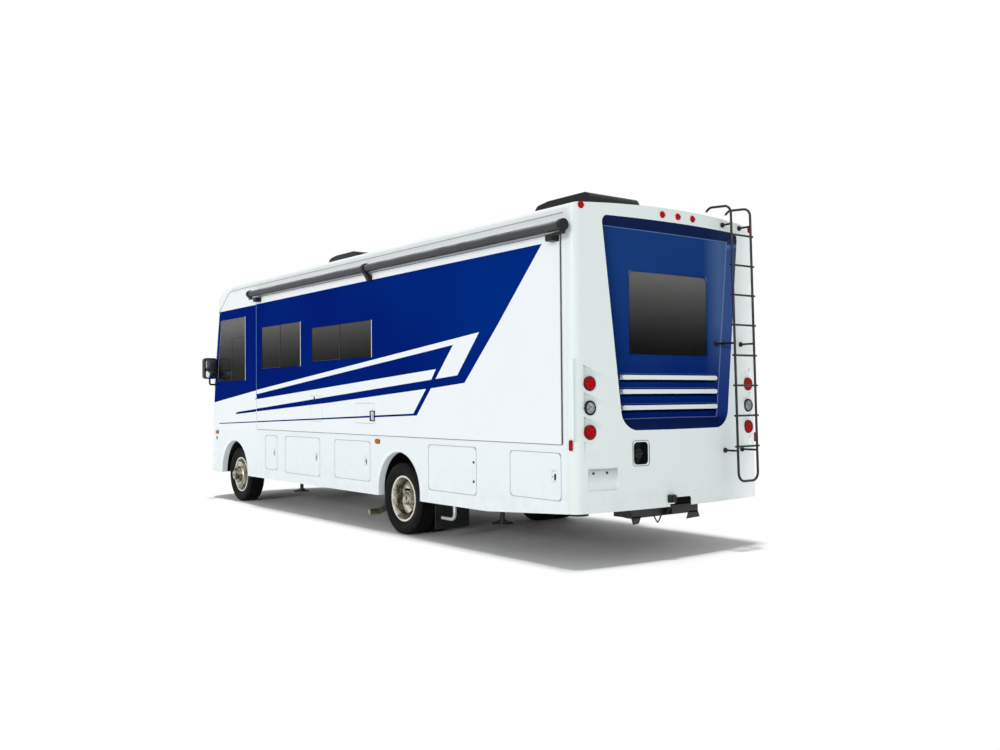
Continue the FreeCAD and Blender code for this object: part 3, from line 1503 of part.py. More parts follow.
def wheel_wells():
    """Wheel liners, mud flaps and the entry step well."""
    pieces = []
    for axle_x, radius, centre_z, inner_y in arches:
        well = wheel_well(axle_x, radius, centre_z, inner_y)
        pieces += [well, mirrored(well)]
    flap = box(-mud_flap_behind, -mud_flap_behind + mud_flap_wall, mud_flap_inner_y,
               mud_flap_outer_y - skirt_thickness, mud_flap_low_z, generator_bay[2] - seat_gap)
    pieces += [flap, mirrored(flap)]
    pieces.append(entry_step())
    return Part.makeCompound(pieces)


def entry_step():
    """The step well inside the entry door."""
    edge = -inner_half + seat_gap
    back = edge + step_well_depth - seat_gap
    low = step_heights_z[0]
    shell = box(entry_rear_x + seat_gap, entry_front_x - seat_gap, edge, back, low, deck_low_z)
    hollow = box(entry_rear_x + step_wall, entry_front_x - step_wall, edge - overrun,
                 back - step_wall, low + step_wall, deck_low_z + overrun)
    tread = box(entry_rear_x + step_wall, entry_front_x - step_wall, edge + step_well_depth / 2, back,
                low + step_wall, step_heights_z[1])
    return fuse([shell.cut(hollow), tread])


def jack_cylinder(x):
    """A hydraulic levelling jack on the outside of the left frame rail."""
    body = rod(jack_cylinder_radius, vec(x, jack_y, jack_cylinder_low_z), vec(x, jack_y, jack_top_z))
    mount = box(x - jack_cylinder_radius, x + jack_cylinder_radius, rail_y + seat_gap, jack_y,
                rail_bottom_z, rail_bottom_z + rail_height / 2)
    bore = rod(jack_rod_radius + spindle_gap, vec(x, jack_y, jack_cylinder_low_z - overrun),
               vec(x, jack_y, jack_top_z - overrun))
    return fuse([body, mount]).cut(bore)


def jack_foot(x):
    """A jack's rod and round foot, drawn up."""
    rod_top = jack_top_z - 2 * overrun
    foot_top = jack_foot_z + jack_foot_thickness
    stem = rod(jack_rod_radius, vec(x, jack_y, jack_foot_z), vec(x, jack_y, rod_top))
    foot = rod(jack_foot_radius, vec(x, jack_y, jack_foot_z), vec(x, jack_y, foot_top))
    collar = rod(jack_rod_radius * 2, vec(x, jack_y, foot_top), vec(x, jack_y, foot_top + jack_rod_radius))
    return fuse([stem, foot, collar])


def jack_cylinders():
    return Part.makeCompound([pair(jack_cylinder(x)) for x in jack_places_x])


def roof_units():
    """Two rooftop coolers and the vent lids, cut to the roof's crown."""
    units = []
    for x0, x1 in cooler_places_x:
        low = roof_crown_z - roof_bow
        high = roof_crown_z + cooler_height
        shroud = slab("y", -cooler_half, cooler_half,
                      ((x0, low), (x1, low), (x1 - cooler_round / 2, high - cooler_round / 3),
                       (x1 - 3 * cooler_round, high), (x0 + cooler_round, high)),
                      [0, 0, cooler_round, cooler_round, cooler_round])
        units.append(shroud)
    for x in vent_places_x:
        units.append(box(x - vent_half, x + vent_half, -vent_half, vent_half,
                         roof_crown_z - roof_bow, roof_crown_z + vent_height))
    roof_block = coach_section(rear_seam_x, nose_x, wall_top_z, -seat_gap)
    return Part.makeCompound([unit.cut(roof_block) for unit in units])


def ladder():
    """The rear ladder: one bent tube for both rails, round rungs, stays and their feet."""
    top_x = rear_wall_x - ladder_top_stand
    low_x = ladder_tube - ladder_behind_axle

    def rail_x(z):
        share = (ladder_top_z - z) / (ladder_top_z - ladder_bottom_z)
        return top_x + (low_x - top_x) * share

    def half_path(y):
        hoop_x = top_x + ladder_hoop_reach
        return [vec(hoop_x, y, roof_crown_z - roof_bow), vec(hoop_x, y, ladder_top_z + 2 * ladder_tube),
                vec(top_x, y, ladder_top_z), vec(rail_x(ladder_bottom_z), y, ladder_bottom_z)]

    path = half_path(ladder_outer_y) + half_path(ladder_inner_y)[::-1]
    pieces = [bar(path, ladder_tube, ladder_bend)]
    for z in ladder_rungs_z:
        pieces.append(rod(ladder_rung, vec(rail_x(z), ladder_outer_y, z), vec(rail_x(z), ladder_inner_y, z)))
    for z in ladder_stays_z:
        for y in (ladder_outer_y, ladder_inner_y):
            wall_x = face_x_at(y)
            pieces.append(rod(ladder_rung, vec(rail_x(z), y, z), vec(wall_x + ladder_foot_thickness, y, z)))
            pieces.append(rod(ladder_foot_radius, vec(wall_x - ladder_foot_thickness, y, z),
                              vec(wall_x + ladder_foot_thickness, y, z)))
    whole = fuse(pieces)
    body = rear_form(0.0, -seat_gap).fuse(coach_section(rear_seam_x, 0, wall_top_z, -seat_gap))
    return whole.cut(body)


def mirror():
    """The left mirror head on its bent arm."""
    x0 = mirror_x - mirror_thickness / 2
    x1 = mirror_x + mirror_thickness / 2
    head = slab("x", x0, x1, rectangle(mirror_inner_y, mirror_outer_y, mirror_low_z, mirror_high_z),
                mirror_round)
    middle_y = (mirror_inner_y + mirror_outer_y) / 2
    arm = bar([vec(mirror_arm_x, half_width + seat_gap + mirror_arm_radius / 4, mirror_arm_z),
               vec(mirror_x, middle_y, mirror_arm_z), vec(mirror_x, middle_y, mirror_low_z + mirror_round)],
              mirror_arm_radius, 2 * mirror_arm_radius)
    foot = box(mirror_arm_x - 2 * mirror_arm_radius, mirror_arm_x + 2 * mirror_arm_radius,
               half_width + seat_gap, half_width + seat_gap + mirror_arm_radius / 2,
               mirror_arm_z - 3 * mirror_arm_radius, mirror_arm_z + 3 * mirror_arm_radius)
    outside = box(x0 - overrun, x1 + overrun, half_width + seat_gap, mirror_outer_y + overrun,
                  mirror_arm_z - 2 * overrun, mirror_high_z + overrun)
    return fuse([head, arm, foot]).common(outside)


def patio_awning():
    """The rolled patio awning on the right, with its folded arms on the wall."""
    roller = rod(awning_radius, vec(awning_rear_x, -awning_y, awning_z),
                 vec(awning_front_x, -awning_y, awning_z))
    arms = []
    for x in (awning_rear_x + awning_arm_width, awning_front_x - awning_arm_width):
        arms.append(box(x - awning_arm_width / 2, x + awning_arm_width / 2, -awning_y + awning_radius / 3,
                        -half_width - seat_gap, awning_arm_low_z, awning_z + awning_radius / 2))
    return fuse([roller] + arms)


def dashboard():
    """Dashboard, steering column and wheel, and the two seat pedestals."""
    desk = slab("y", -dash_half, dash_half, (
        (dash_rear_x, deck_top_z + seat_gap), (dash_front_x, deck_top_z + seat_gap),
        (dash_front_x, dash_top_z), (dash_rear_x + 2 * cap_thickness, dash_top_z),
        (dash_rear_x - 2 * cap_thickness, dash_top_z - wall_thickness * 2),
    ))
    lean = math.radians(column_lean)
    along = vec(-math.cos(lean), 0, math.sin(lean))
    wheel_centre = vec(steering_wheel_x, seat_y, steering_wheel_z)
    column = rod(steering_wheel_tube * 2, wheel_centre.sub(along * steering_column_length),
                 wheel_centre)
    front = wheel_centre.add(along * steering_wheel_tube)
    ring = rod(steering_wheel_radius + steering_wheel_tube, wheel_centre, front)
    ring = ring.cut(rod(steering_wheel_radius - steering_wheel_tube, wheel_centre, front))
    across = vec(0, 1, 0) * steering_wheel_radius
    spoke = rod(steering_wheel_tube / 2, wheel_centre.sub(across), wheel_centre.add(across))
    pedestals = [box(seat_x - pedestal_half, seat_x + pedestal_half, y - pedestal_half,
                     y + pedestal_half, deck_top_z + seat_gap, cushion_z - cushion_thickness / 2 - seat_gap)
                 for y in (-seat_y, seat_y)]
    return Part.makeCompound([fuse([desk, column, ring, spoke])] + pedestals)


def seat_cushions():
    """Seat and back cushions of the two cab seats."""
    pieces = []
    for y in (-seat_y, seat_y):
        low = cushion_z - cushion_thickness / 2
        seat = slab("z", low, low + cushion_thickness,
                    rectangle(seat_x - cushion_length / 2, seat_x + cushion_length / 2,
                              y - cushion_half, y + cushion_half), cushion_thickness / 2)
        back = slab("y", y - cushion_half, y + cushion_half,
                    rectangle(-back_thickness, 0, 0, back_height), back_thickness / 3)
        back.rotate(vec(0, 0, 0), vec(0, 1, 0), -back_lean)
        back.translate(vec(seat_x - cushion_length / 2 + back_thickness / 2, 0,
                           low + cushion_thickness + back_gap))
        pieces += [seat, back]
    return Part.makeCompound(pieces)


def write(node, shape):
    moved = shape.copy()
    moved.translate(vec(-origin_x, 0, 0))
    moved.exportStep("parts/" + node + ".step")


def build():
    os.makedirs("parts", exist_ok=True)
    nodes = {
        "front_cap": front_cap(),
        "rear_cap": rear_cap(),
        "roof": roof(),
        "left_wall": left_wall(),
        "right_wall": right_wall(),
        "floor": floor(),
        "left_skirt": skirt(left_bays, False),
        "right_skirt": mirrored(skirt(right_bays, True)),
        "windscreen": windscreen(),
        "coach_glass": coach_glass(),
        "red_lamps": red_lamps(),
        "clear_lamps": clear_lamps(),
        "grille": grille(),
        "mirrors": pair(mirror()),
        "ladder": ladder(),
        "roof_units": roof_units(),
        "patio_awning": patio_awning(),
        "chassis_frame": chassis_frame(),
        "front_axle": front_axle(),
        "rear_axle": rear_axle(),
        "engine": engine(),
        "fuel_tank": fuel_tank(),
        "exhaust": exhaust(),
        "wheel_wells": wheel_wells(),
        "jack_cylinders": jack_cylinders(),
        "cargo_bays": cargo_bays(),
        "rear_cargo_bay": bay_box(left_bays[-1]),
        "dashboard": dashboard(),
        "seat_cushions": seat_cushions(),
        "slide_room": slide_room(),
        "slide_glass": slide_glass(),
        "slide_hatch_front": slide_hatch(
            hatch_front, hatch_front[1] - hatch_front_latch_inset[0],
            hatch_front[3] - hatch_front_latch_inset[1]),
        "slide_hatch_rear": slide_hatch(
            hatch_rear, hatch_rear[0] + hatch_rear_latch_inset,
            (hatch_rear[2] + hatch_rear[3]) / 2),
        "topper": topper(),
        "topper_fabric": topper_fabric(),
        "entry_door": entry_door(),
        "entry_door_glass": entry_door_glass(),
        "knuckle_left": knuckle(),
        "knuckle_right": mirrored(knuckle()),
    }
    for i, bay in enumerate(left_bays):
        nodes["left_bay_door_" + str(i + 1)] = bay_door(bay, 1)
    for i, bay in enumerate(right_bays):
        nodes["right_bay_door_" + str(i + 1)] = bay_door(bay, -1)
    nodes.update(wheels())
    for name, x in zip(("rear", "front"), jack_places_x):
        nodes[name + "_left_jack_foot"] = jack_foot(x)
        nodes[name + "_right_jack_foot"] = mirrored(jack_foot(x))
    for node, shape in nodes.items():
        write(node, shape)
        print(node, len(shape.Solids), round(shape.Volume / 1e6, 2), shape.isValid())


build()
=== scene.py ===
"""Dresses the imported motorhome: paint, stripes, tyres, lamps, trim, latches and soft goods."""

import json
import math
from functools import cache, partial

import bmesh
import bpy
from mathutils import Matrix, Vector


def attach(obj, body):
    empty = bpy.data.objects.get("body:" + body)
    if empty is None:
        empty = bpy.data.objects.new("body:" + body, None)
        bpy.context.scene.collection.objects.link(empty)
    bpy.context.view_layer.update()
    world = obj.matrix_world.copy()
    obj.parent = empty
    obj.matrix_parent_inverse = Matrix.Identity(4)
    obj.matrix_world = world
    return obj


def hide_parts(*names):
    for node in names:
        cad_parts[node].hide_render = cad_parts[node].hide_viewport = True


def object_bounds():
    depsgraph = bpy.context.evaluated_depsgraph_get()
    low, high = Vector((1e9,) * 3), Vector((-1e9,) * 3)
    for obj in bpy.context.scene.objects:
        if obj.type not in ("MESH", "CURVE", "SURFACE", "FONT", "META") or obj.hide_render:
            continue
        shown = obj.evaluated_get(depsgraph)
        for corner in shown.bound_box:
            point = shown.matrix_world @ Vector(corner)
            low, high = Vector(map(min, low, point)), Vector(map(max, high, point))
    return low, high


bl_info = {
    "name": "Motorhome dressing",
    "version": (1, 0, 0),
    "blender": (4, 5, 0),
    "location": "View3D > Sidebar > Motorhome",
    "description": "Builds the finishes, trim, tyres, lamps and soft goods of the motorhome",
    "category": "Object",
}

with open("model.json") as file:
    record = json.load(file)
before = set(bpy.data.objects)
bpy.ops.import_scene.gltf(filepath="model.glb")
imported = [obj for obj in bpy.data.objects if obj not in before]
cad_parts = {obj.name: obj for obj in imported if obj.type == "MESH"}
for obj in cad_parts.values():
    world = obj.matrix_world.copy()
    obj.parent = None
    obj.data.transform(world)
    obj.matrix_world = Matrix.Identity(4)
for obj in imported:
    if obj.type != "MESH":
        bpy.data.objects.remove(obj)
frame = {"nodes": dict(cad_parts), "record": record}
cad_low, cad_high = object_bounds()

# Places along the coach are written in metres ahead of the rear axle, as in the part's source.
AXLE_X = -1.413
HALF_WIDTH = 1.2825
FASCIA_Y = 1.3025
GLASS_INSET = 0.0052
WHEEL_Z = 0.408
WHEELBASE = 4.826
REAR_WALL = -3.149
REAR_BOW = 0.103 / HALF_WIDTH ** 2
RECESS_DEPTH = 0.110
RECESS_BOW = 0.048
RIB_LEVELS = (1.737, 1.602, 1.450)
RIB_HALF = 0.668
FILLER_POCKET = (0.425, 0.618, 0.912, 1.138)
ROLLER_Y = 1.380
ROLLER_Z = 3.100
HEAD_LAMP_Y = 0.800
HEAD_LAMP_Z = 0.925
HEAD_BOWL_APART = 0.098
SIDES = (1, -1)
AHEAD = Vector((1, 0, 0))
ASTERN = Vector((-1, 0, 0))
LEFTWARD = Vector((0, 1, 0))


def ahead(x):
    """The frame's X of a place given ahead of the rear axle."""
    return x + AXLE_X


def srgb(red, green, blue):
    """A screen colour from 0 to 255 as a linear one."""
    def linear(value):
        share = value / 255
        return share / 12.92 if share <= 0.04045 else ((share + 0.055) / 1.055) ** 2.4
    return (linear(red), linear(green), linear(blue), 1.0)


def colour(name, description, *screen):
    """A colour setting whose default is a screen colour."""
    return bpy.props.FloatVectorProperty(name=name, description=description, subtype="COLOR",
                                         size=4, min=0, max=1, default=srgb(*screen))


def number(name, description, low, high, usual, unit="NONE"):
    """A number setting between low and high."""
    return bpy.props.FloatProperty(name=name, description=description, unit=unit,
                                   min=low, max=high, default=usual)


length = partial(number, unit="LENGTH")


class PaintSettings(bpy.types.PropertyGroup):
    """Colours of the coach's paint and glass."""

    shell: colour("Shell", "Gelcoat of the walls and caps", 233, 238, 240)
    skirt: colour("Skirt", "Painted skirts and bay doors", 229, 236, 238)
    stripe: colour("Stripe", "Blue field and spears on the sides", 0, 26, 108)
    recess: colour("Recess", "Blue of the sunk rear panel", 0, 26, 102)
    glass: colour("Glass", "Tinted glass", 14, 15, 14)


class WheelSettings(bpy.types.PropertyGroup):
    """Sizes of the tyres and wheel nuts."""

    groove_depth: length("Groove depth", "Depth of the tread's long grooves", 0.002, 0.02, 0.011)
    groove_width: length("Groove width", "Width of the tread's long grooves", 0.004, 0.02, 0.009)
    lug_pitches: bpy.props.IntProperty(
        name="Lug pitches", description="Shoulder lugs round one tyre", min=24, max=96, default=64)
    nut_radius: length("Nut radius", "Across the corners of a wheel nut, halved",
                       0.012, 0.03, 0.0192)


class TrimSettings(bpy.types.PropertyGroup):
    """Sizes of the window trim."""

    seal_width: length("Seal width", "Visible width of a window's rubber seal",
                       0.004, 0.03, 0.011)
    seal_stand: length("Seal stand", "How far a seal stands out of the wall",
                       0.0005, 0.01, 0.0022)
    mullion_width: length("Mullion width", "Width of the bars that part the sliding panes",
                          0.006, 0.05, 0.016)


class StageSettings(bpy.types.PropertyGroup):
    """Floor, light and camera."""

    floor_size: length("Floor size", "Side of the square floor", 20, 400, 240)
    sky: number("Sky", "Strength of the even studio light", 0, 4, 0.42)
    key: number("Key", "Strength of the soft light from above", 0, 10, 1.9)
    fill: number("Fill", "Strength of the low light on the rear and left sides", 0, 10, 1.26)
    lens: number("Lens", "Focal length on a 36 mm wide frame, in millimetres", 10, 200, 35.125)


class Value:
    """A socket of a shader's node, with arithmetic that adds Math nodes."""

    def __init__(self, nodes, socket):
        self.nodes = nodes
        self.socket = socket

    def maths(self, operation, *values):
        return self.nodes.node("ShaderNodeMath", {"operation": operation}, dict(enumerate(values)))

    def __add__(self, other):
        return self.maths("ADD", self, other)

    def __radd__(self, other):
        return self.maths("ADD", other, self)

    def __sub__(self, other):
        return self.maths("SUBTRACT", self, other)

    def __rsub__(self, other):
        return self.maths("SUBTRACT", other, self)

    def __mul__(self, other):
        return self.maths("MULTIPLY", self, other)

    def __rmul__(self, other):
        return self.maths("MULTIPLY", other, self)

    def __gt__(self, other):
        return self.maths("GREATER_THAN", self, other)

    def __lt__(self, other):
        return self.maths("LESS_THAN", self, other)

    def __abs__(self):
        return self.maths("ABSOLUTE", self)

    def between(self, low, high):
        return (self > low) * (self < high)

    def either(self, other):
        return self.maths("MAXIMUM", self, other)

    def lesser(self, other):
        return self.maths("MINIMUM", self, other)

    def root(self):
        return self.maths("SQRT", self)

    def ramp(self, low, high):
        """0 below low, 1 above high and even between them."""
        return self.nodes.node("ShaderNodeMapRange", {"clamp": True},
                               {0: self, 1: low, 2: high, 3: 0.0, 4: 1.0})

    def wave(self, pitch):
        """A sine from 0 to 1 that repeats at a pitch in metres."""
        return self.maths("SINE", self * (2 * math.pi / pitch)) * 0.5 + 0.5


class Nodes:
    """The node tree of a world or a material, emptied but for its output."""

    def __init__(self, owner, output):
        owner.use_nodes = True
        self.tree = owner.node_tree
        self.tree.nodes.clear()
        self.output = self.tree.nodes.new(output)

    def node(self, kind, settings, inputs, output=0):
        made = self.tree.nodes.new(kind)
        for name, value in settings.items():
            setattr(made, name, value)
        for name, value in inputs.items():
            if isinstance(value, Value):
                self.tree.links.new(value.socket, made.inputs[name])
            else:
                made.inputs[name].default_value = value
        return Value(self, made.outputs[output])

    def seen(self):
        """1 for rays from the camera and for those that a glossy surface sends on, else 0."""
        camera, glossy = (self.node("ShaderNodeLightPath", {}, {}, output=ray)
                          for ray in ("Is Camera Ray", "Is Glossy Ray"))
        return camera.either(glossy)

    def blend(self, share, first, second):
        return self.node("ShaderNodeMixShader", {}, {0: share, 1: first, 2: second})

    def end(self, shader):
        self.tree.links.new(shader.socket, self.output.inputs["Surface"])


class Finish(Nodes):
    """One procedural material."""

    def __init__(self, name):
        self.material = bpy.data.materials.new(name)
        super().__init__(self.material, "ShaderNodeOutputMaterial")
        self.place = self.node("ShaderNodeTexCoord", {}, {}, output="Object")
        self.x = self.node("ShaderNodeSeparateXYZ", {}, {0: self.place}, output="X")
        self.y, self.z = (Value(self, self.x.socket.node.outputs[axis]) for axis in "YZ")

    def mix(self, share, first, second):
        """A colour between two others."""
        return self.node("ShaderNodeMix", {"data_type": "RGBA"}, {0: share, 6: first, 7: second},
                         output=2)

    def coats(self, base, *layers):
        """Lays screen colours over a base colour, each by its own share."""
        for share, screen in layers:
            base = self.mix(share, base, srgb(*screen))
        return base

    def noise(self, scale, detail=3.0, stretch=None):
        vector = self.place
        if stretch:
            vector = self.node("ShaderNodeVectorMath", {"operation": "MULTIPLY"},
                               {0: self.place, 1: stretch})
        return self.node("ShaderNodeTexNoise", {},
                         {"Vector": vector, "Scale": scale, "Detail": detail}, output="Fac")

    def cells(self, scale, output="Distance"):
        return self.node("ShaderNodeTexVoronoi", {}, {"Vector": self.place, "Scale": scale},
                         output=output)

    def bump(self, height, strength, distance):
        return self.node("ShaderNodeBump", {}, {"Height": height, "Strength": strength,
                                                "Distance": distance}, output="Normal")

    def surface(self, **inputs):
        """Ends the material in a Principled shader."""
        self.end(self.node("ShaderNodeBsdfPrincipled", {}, {
            name.replace("_", " ").title().replace("Ior", "IOR"): value
            for name, value in inputs.items()}))
        return self.material


def inside(across, up, corners):
    """1 inside a convex outline whose corners run anticlockwise in across and up, else 0."""
    tests = [(up * (u1 - u0) - across * (v1 - v0)) > (u1 - u0) * v0 - (v1 - v0) * u0
             for (u0, v0), (u1, v1) in zip(corners, corners[1:] + corners[:1])]
    return math.prod(tests[1:], start=tests[0])


def any_of(masks):
    """1 where any of some masks is 1."""
    joined = masks[0]
    for mask in masks[1:]:
        joined = joined.either(mask)
    return joined


# Outlines of the blue side graphics in the frame's X and Z, anticlockwise.
STRIPES = (
    ((-3.342, 2.2455), (2.581, 1.687), (2.581, 2.952), (-4.062, 2.984)),
    ((2.581, 1.687), (4.210, 1.515), (3.999, 2.946), (2.581, 2.952)),
    ((-3.390, 2.293), (-2.795, 1.710), (-2.665, 1.792), (-3.057, 2.2185)),
    ((-2.795, 1.710), (-2.162, 1.662), (-2.253, 1.761), (-2.665, 1.792)),
    ((-2.253, 1.761), (-2.162, 1.662), (-2.063, 1.657), (-2.170, 1.756)),
    ((-2.591, 2.113), (-2.253, 1.761), (-2.170, 1.756), (-2.262, 1.867)),
    ((-2.591, 2.113), (-2.262, 1.867), (2.582, 1.555), (2.517, 1.633)),
    ((-2.170, 1.756), (-2.063, 1.657), (0.223, 1.507), (3.334, 1.335), (3.285, 1.367)),
    ((-2.162, 1.662), (-1.873, 1.365), (-1.802, 1.386), (-2.063, 1.657)),
    ((-1.873, 1.365), (4.002, 1.175), (4.002, 1.189), (-1.802, 1.386)),
)


def settle(finish, base, low=0.45, high=0.85):
    """Road dust that gathers on the lower panels, and a faint cloudiness."""
    cloud = finish.noise(0.9, 2.0)
    grime = (1 - finish.z.ramp(low, high)) * finish.noise(9.0, 5.0).ramp(0.35, 0.75)
    return finish.coats(base, (cloud * 0.10, (208, 216, 219)), (grime * 0.12, (150, 146, 138)))


def painted(finish, base, dark=0.0):
    """Glossy paint over a faintly uneven sheet, with less coat where dark is 1."""
    ripple = finish.noise(1.6, 1.0)
    peel = finish.noise(420.0, 2.0)
    haze = finish.noise(1.1, 2.0)
    return finish.surface(base_color=base, roughness=0.22 + haze * 0.08,
                          normal=finish.bump(ripple * 0.5 + peel * 0.012, 0.02, 0.004),
                          coat_weight=0.20 - dark * 0.19, coat_roughness=0.10,
                          specular_ior_level=0.0)


def side_paint():
    """White gelcoat with the blue field and spears on the outer faces; painted light on the blue.
    """
    finish = Finish("side_paint")
    paint = bpy.context.scene.motorhome_paint
    white = settle(finish, tuple(paint.shell))
    # painted light: the blue lightens in soft noise patches, more toward the top and toward the
    # rear
    painted_light = (0.55 - finish.x * 0.10) * (finish.z.ramp(1.2, 3.2) + 0.3)
    depth = finish.noise(0.55, 1.0).ramp(0.30, 0.75)
    blue = finish.coats(tuple(paint.stripe), (depth * painted_light * 0.9, (0, 48, 132)))
    spears = any_of([inside(finish.x, finish.z, corners) for corners in STRIPES])
    stripes = spears * (abs(finish.y) > HALF_WIDTH - 0.003)
    return painted(finish, finish.mix(stripes, white, blue), stripes)


def skirt_paint():
    finish = Finish("skirt_paint")
    return painted(finish, settle(finish, tuple(bpy.context.scene.motorhome_paint.skirt),
                                  0.42, 0.95))


def rear_paint():
    """White gelcoat with folds above the lamps and the plate, and the sunk panel with its ribs;
    painted light and shade on both.
    """
    finish = Finish("rear_paint")
    paint = bpy.context.scene.motorhome_paint
    y, z = finish.y, finish.z
    right = 0 - y
    depth = finish.x - y * y * REAR_BOW - ahead(REAR_WALL)
    # painted shade on the folds above the side lamps, darker where a fold sinks deeper
    brow_shade = depth.between(0.0012, 0.024) * (abs(y) > 0.93) * z.between(1.15, 1.90)
    # the plate's pocket, which gets painted shade toward its top under the ledge
    plate = z.between(0.69, 0.896) * y.between(0.78, 1.14) * (depth > 0.002)
    white = finish.coats(
        settle(finish, srgb(223, 232, 230), 0.5, 0.9),
        # painted shade on the lamp folds
        (brow_shade * depth.ramp(0.0, 0.018) * 0.55, (172, 184, 182)),
        # painted light: the white lightens toward the right-hand side
        (right.ramp(0.70, 1.15) * 0.9, (250, 255, 253)),
        # painted shade in the plate's pocket, darker toward its top
        (plate * z.ramp(0.77, 0.893) * 0.75, (158, 170, 168)))

    zone = inside(y, z, [(-0.76, 1.215), (0.76, 1.215), (1.01, 3.255), (-1.01, 3.255)])
    sunk = depth.between(0.003, 0.135) * zone
    offsets = [z - level for level in RIB_LEVELS]
    ribs, shade, glint = (any_of([offset.between(low, high) for offset in offsets])
                          for low, high in ((-0.0225, 0.0225), (-0.046, -0.0205), (0.034, 0.040)))
    proud = (depth < RECESS_DEPTH - 0.004) * (abs(y) < RIB_HALF + 0.003)
    panel = sunk * (1 - ribs * proud)
    beside = abs(y) < RIB_HALF
    high = z.ramp(1.3, 3.2)
    rise = y * y * RECESS_BOW - finish.x + (ahead(REAR_WALL) + RECESS_DEPTH)
    slope = rise > 0.004
    sheen = finish.noise(0.9, 1.0, (1.0, 1.0, 0.5)).ramp(0.45, 0.7)
    soffit = z.ramp(3.110, 3.125) * slope * (rise > 0.010)
    # The sunk panel's blue with painted light and shade: lighter toward the top, a light streak on
    # the right-hand wall, darker sloped walls and sill, a highlight on the slopes' edge, a soft
    # sheen, a dark soffit, shade under each rib and a glint over it.
    blue = finish.coats(
        tuple(paint.recess),
        # painted light: lighter toward the top
        (high * 0.8, (30, 68, 126)),
        # painted highlight: a light streak on the right-hand wall
        (right.ramp(0.50, 0.76) * z.ramp(1.6, 2.3) * 0.6, (92, 122, 168)),
        # painted shade on the sloped walls, darker still on the sill
        (slope * (z < 3.08) * 0.6, (22, 52, 112)),
        ((z < 1.345) * slope * 0.7, (12, 24, 62)),
        # painted highlight along the edge of the slopes
        (rise.between(0.002, 0.010) * 0.5, (120, 140, 182)),
        (sheen * high * 0.35, (40, 84, 150)),
        # painted shade on the soffit under the panel's top
        (soffit * 0.85, (20, 26, 60)),
        (shade * beside * 0.9, (2, 4, 18)),
        (glint * beside * 0.45, (96, 118, 178)))

    y0, y1, z0, z1 = FILLER_POCKET
    pocket = y.between(y0, y1) * z.between(z0, z1) * depth.between(0.003, 0.1)
    base = finish.coats(finish.mix(panel, white, blue), (pocket, (20, 21, 22)))
    return painted(finish, base, panel)


def roof_skin():
    finish = Finish("roof_skin")
    grain = finish.noise(160.0, 3.0)
    stain = finish.noise(1.1, 5.0).ramp(0.4, 0.8)
    base = finish.coats(srgb(226, 230, 230), (stain * 0.25, (196, 198, 194)))
    return finish.surface(base_color=base, roughness=0.45 + grain * 0.2,
                          normal=finish.bump(grain, 0.25, 0.001))


def tinted_glass():
    """Dark glass with a painted reflection that pales it toward its top, and a faint film."""
    finish = Finish("tinted_glass")
    # painted reflection: the glass pales toward its top
    height = finish.z.ramp(1.90, 2.72)
    film = finish.noise(3.0, 2.0)
    base = finish.coats(tuple(bpy.context.scene.motorhome_paint.glass),
                        (height * height, (104, 104, 102)), (film * 0.10, (40, 42, 42)))
    return finish.surface(base_color=base, roughness=0.16 + film * 0.06, specular_ior_level=0.015)


def lamp_lens(name, bright, deep, pitch):
    """Ribbed moulded lens plastic."""
    finish = Finish(name)
    ribs = finish.y.wave(pitch) * finish.z.wave(pitch)
    cells = finish.cells(1 / pitch)
    base = finish.coats(srgb(*bright), (cells.ramp(0.05, 0.5), deep))
    return finish.surface(base_color=base, roughness=0.16 + cells * 0.1,
                          normal=finish.bump(ribs + cells, 0.5, 0.002), coat_weight=0.06,
                          coat_roughness=0.05, specular_ior_level=0.04)


red_lens = partial(lamp_lens, "red_lens", (232, 6, 20), (150, 0, 10), 0.018)
amber_lens = partial(lamp_lens, "amber_lens", (232, 140, 16), (176, 84, 4), 0.012)


def clear_lens():
    """Clear covers: a fine pattern at the rear, and bowls behind smooth covers at the front."""
    finish = Finish("clear_lens")
    cells = finish.cells(45.0)
    rear = finish.coats(srgb(206, 212, 214), (cells.ramp(0.05, 0.5), (120, 126, 130)))
    across = abs(abs(finish.y) - HEAD_LAMP_Y) - HEAD_BOWL_APART
    up = finish.z - HEAD_LAMP_Z
    reach = (across * across + up * up).root()
    front = finish.coats(srgb(238, 242, 244), (reach.ramp(0.012, 0.062), (104, 112, 120)),
                         (reach > 0.066, (188, 194, 198)))
    return finish.surface(base_color=finish.mix(finish.x > 0, rear, front),
                          roughness=0.14 + cells * 0.08, normal=finish.bump(cells, 0.3, 0.001),
                          coat_weight=0.2, coat_roughness=0.04, specular_ior_level=0.1)


def metal(name, bright, dark, low, high, scale=30.0):
    """Bare or plated metal with uneven polish, its roughness between low and high."""
    finish = Finish(name)
    wear = finish.noise(scale, 5.0)
    base = finish.coats(srgb(*bright), (wear.ramp(0.35, 0.8), dark))
    return finish.surface(base_color=base, metallic=1.0, roughness=low + wear * (high - low),
                          normal=finish.bump(wear, 0.06, 0.001))


bright_trim = partial(metal, "bright_trim", (226, 228, 230), (190, 193, 196), 0.08, 0.22)
mirror_glass = partial(metal, "mirror_glass", (226, 232, 236), (206, 213, 218), 0.04, 0.12, 3.0)


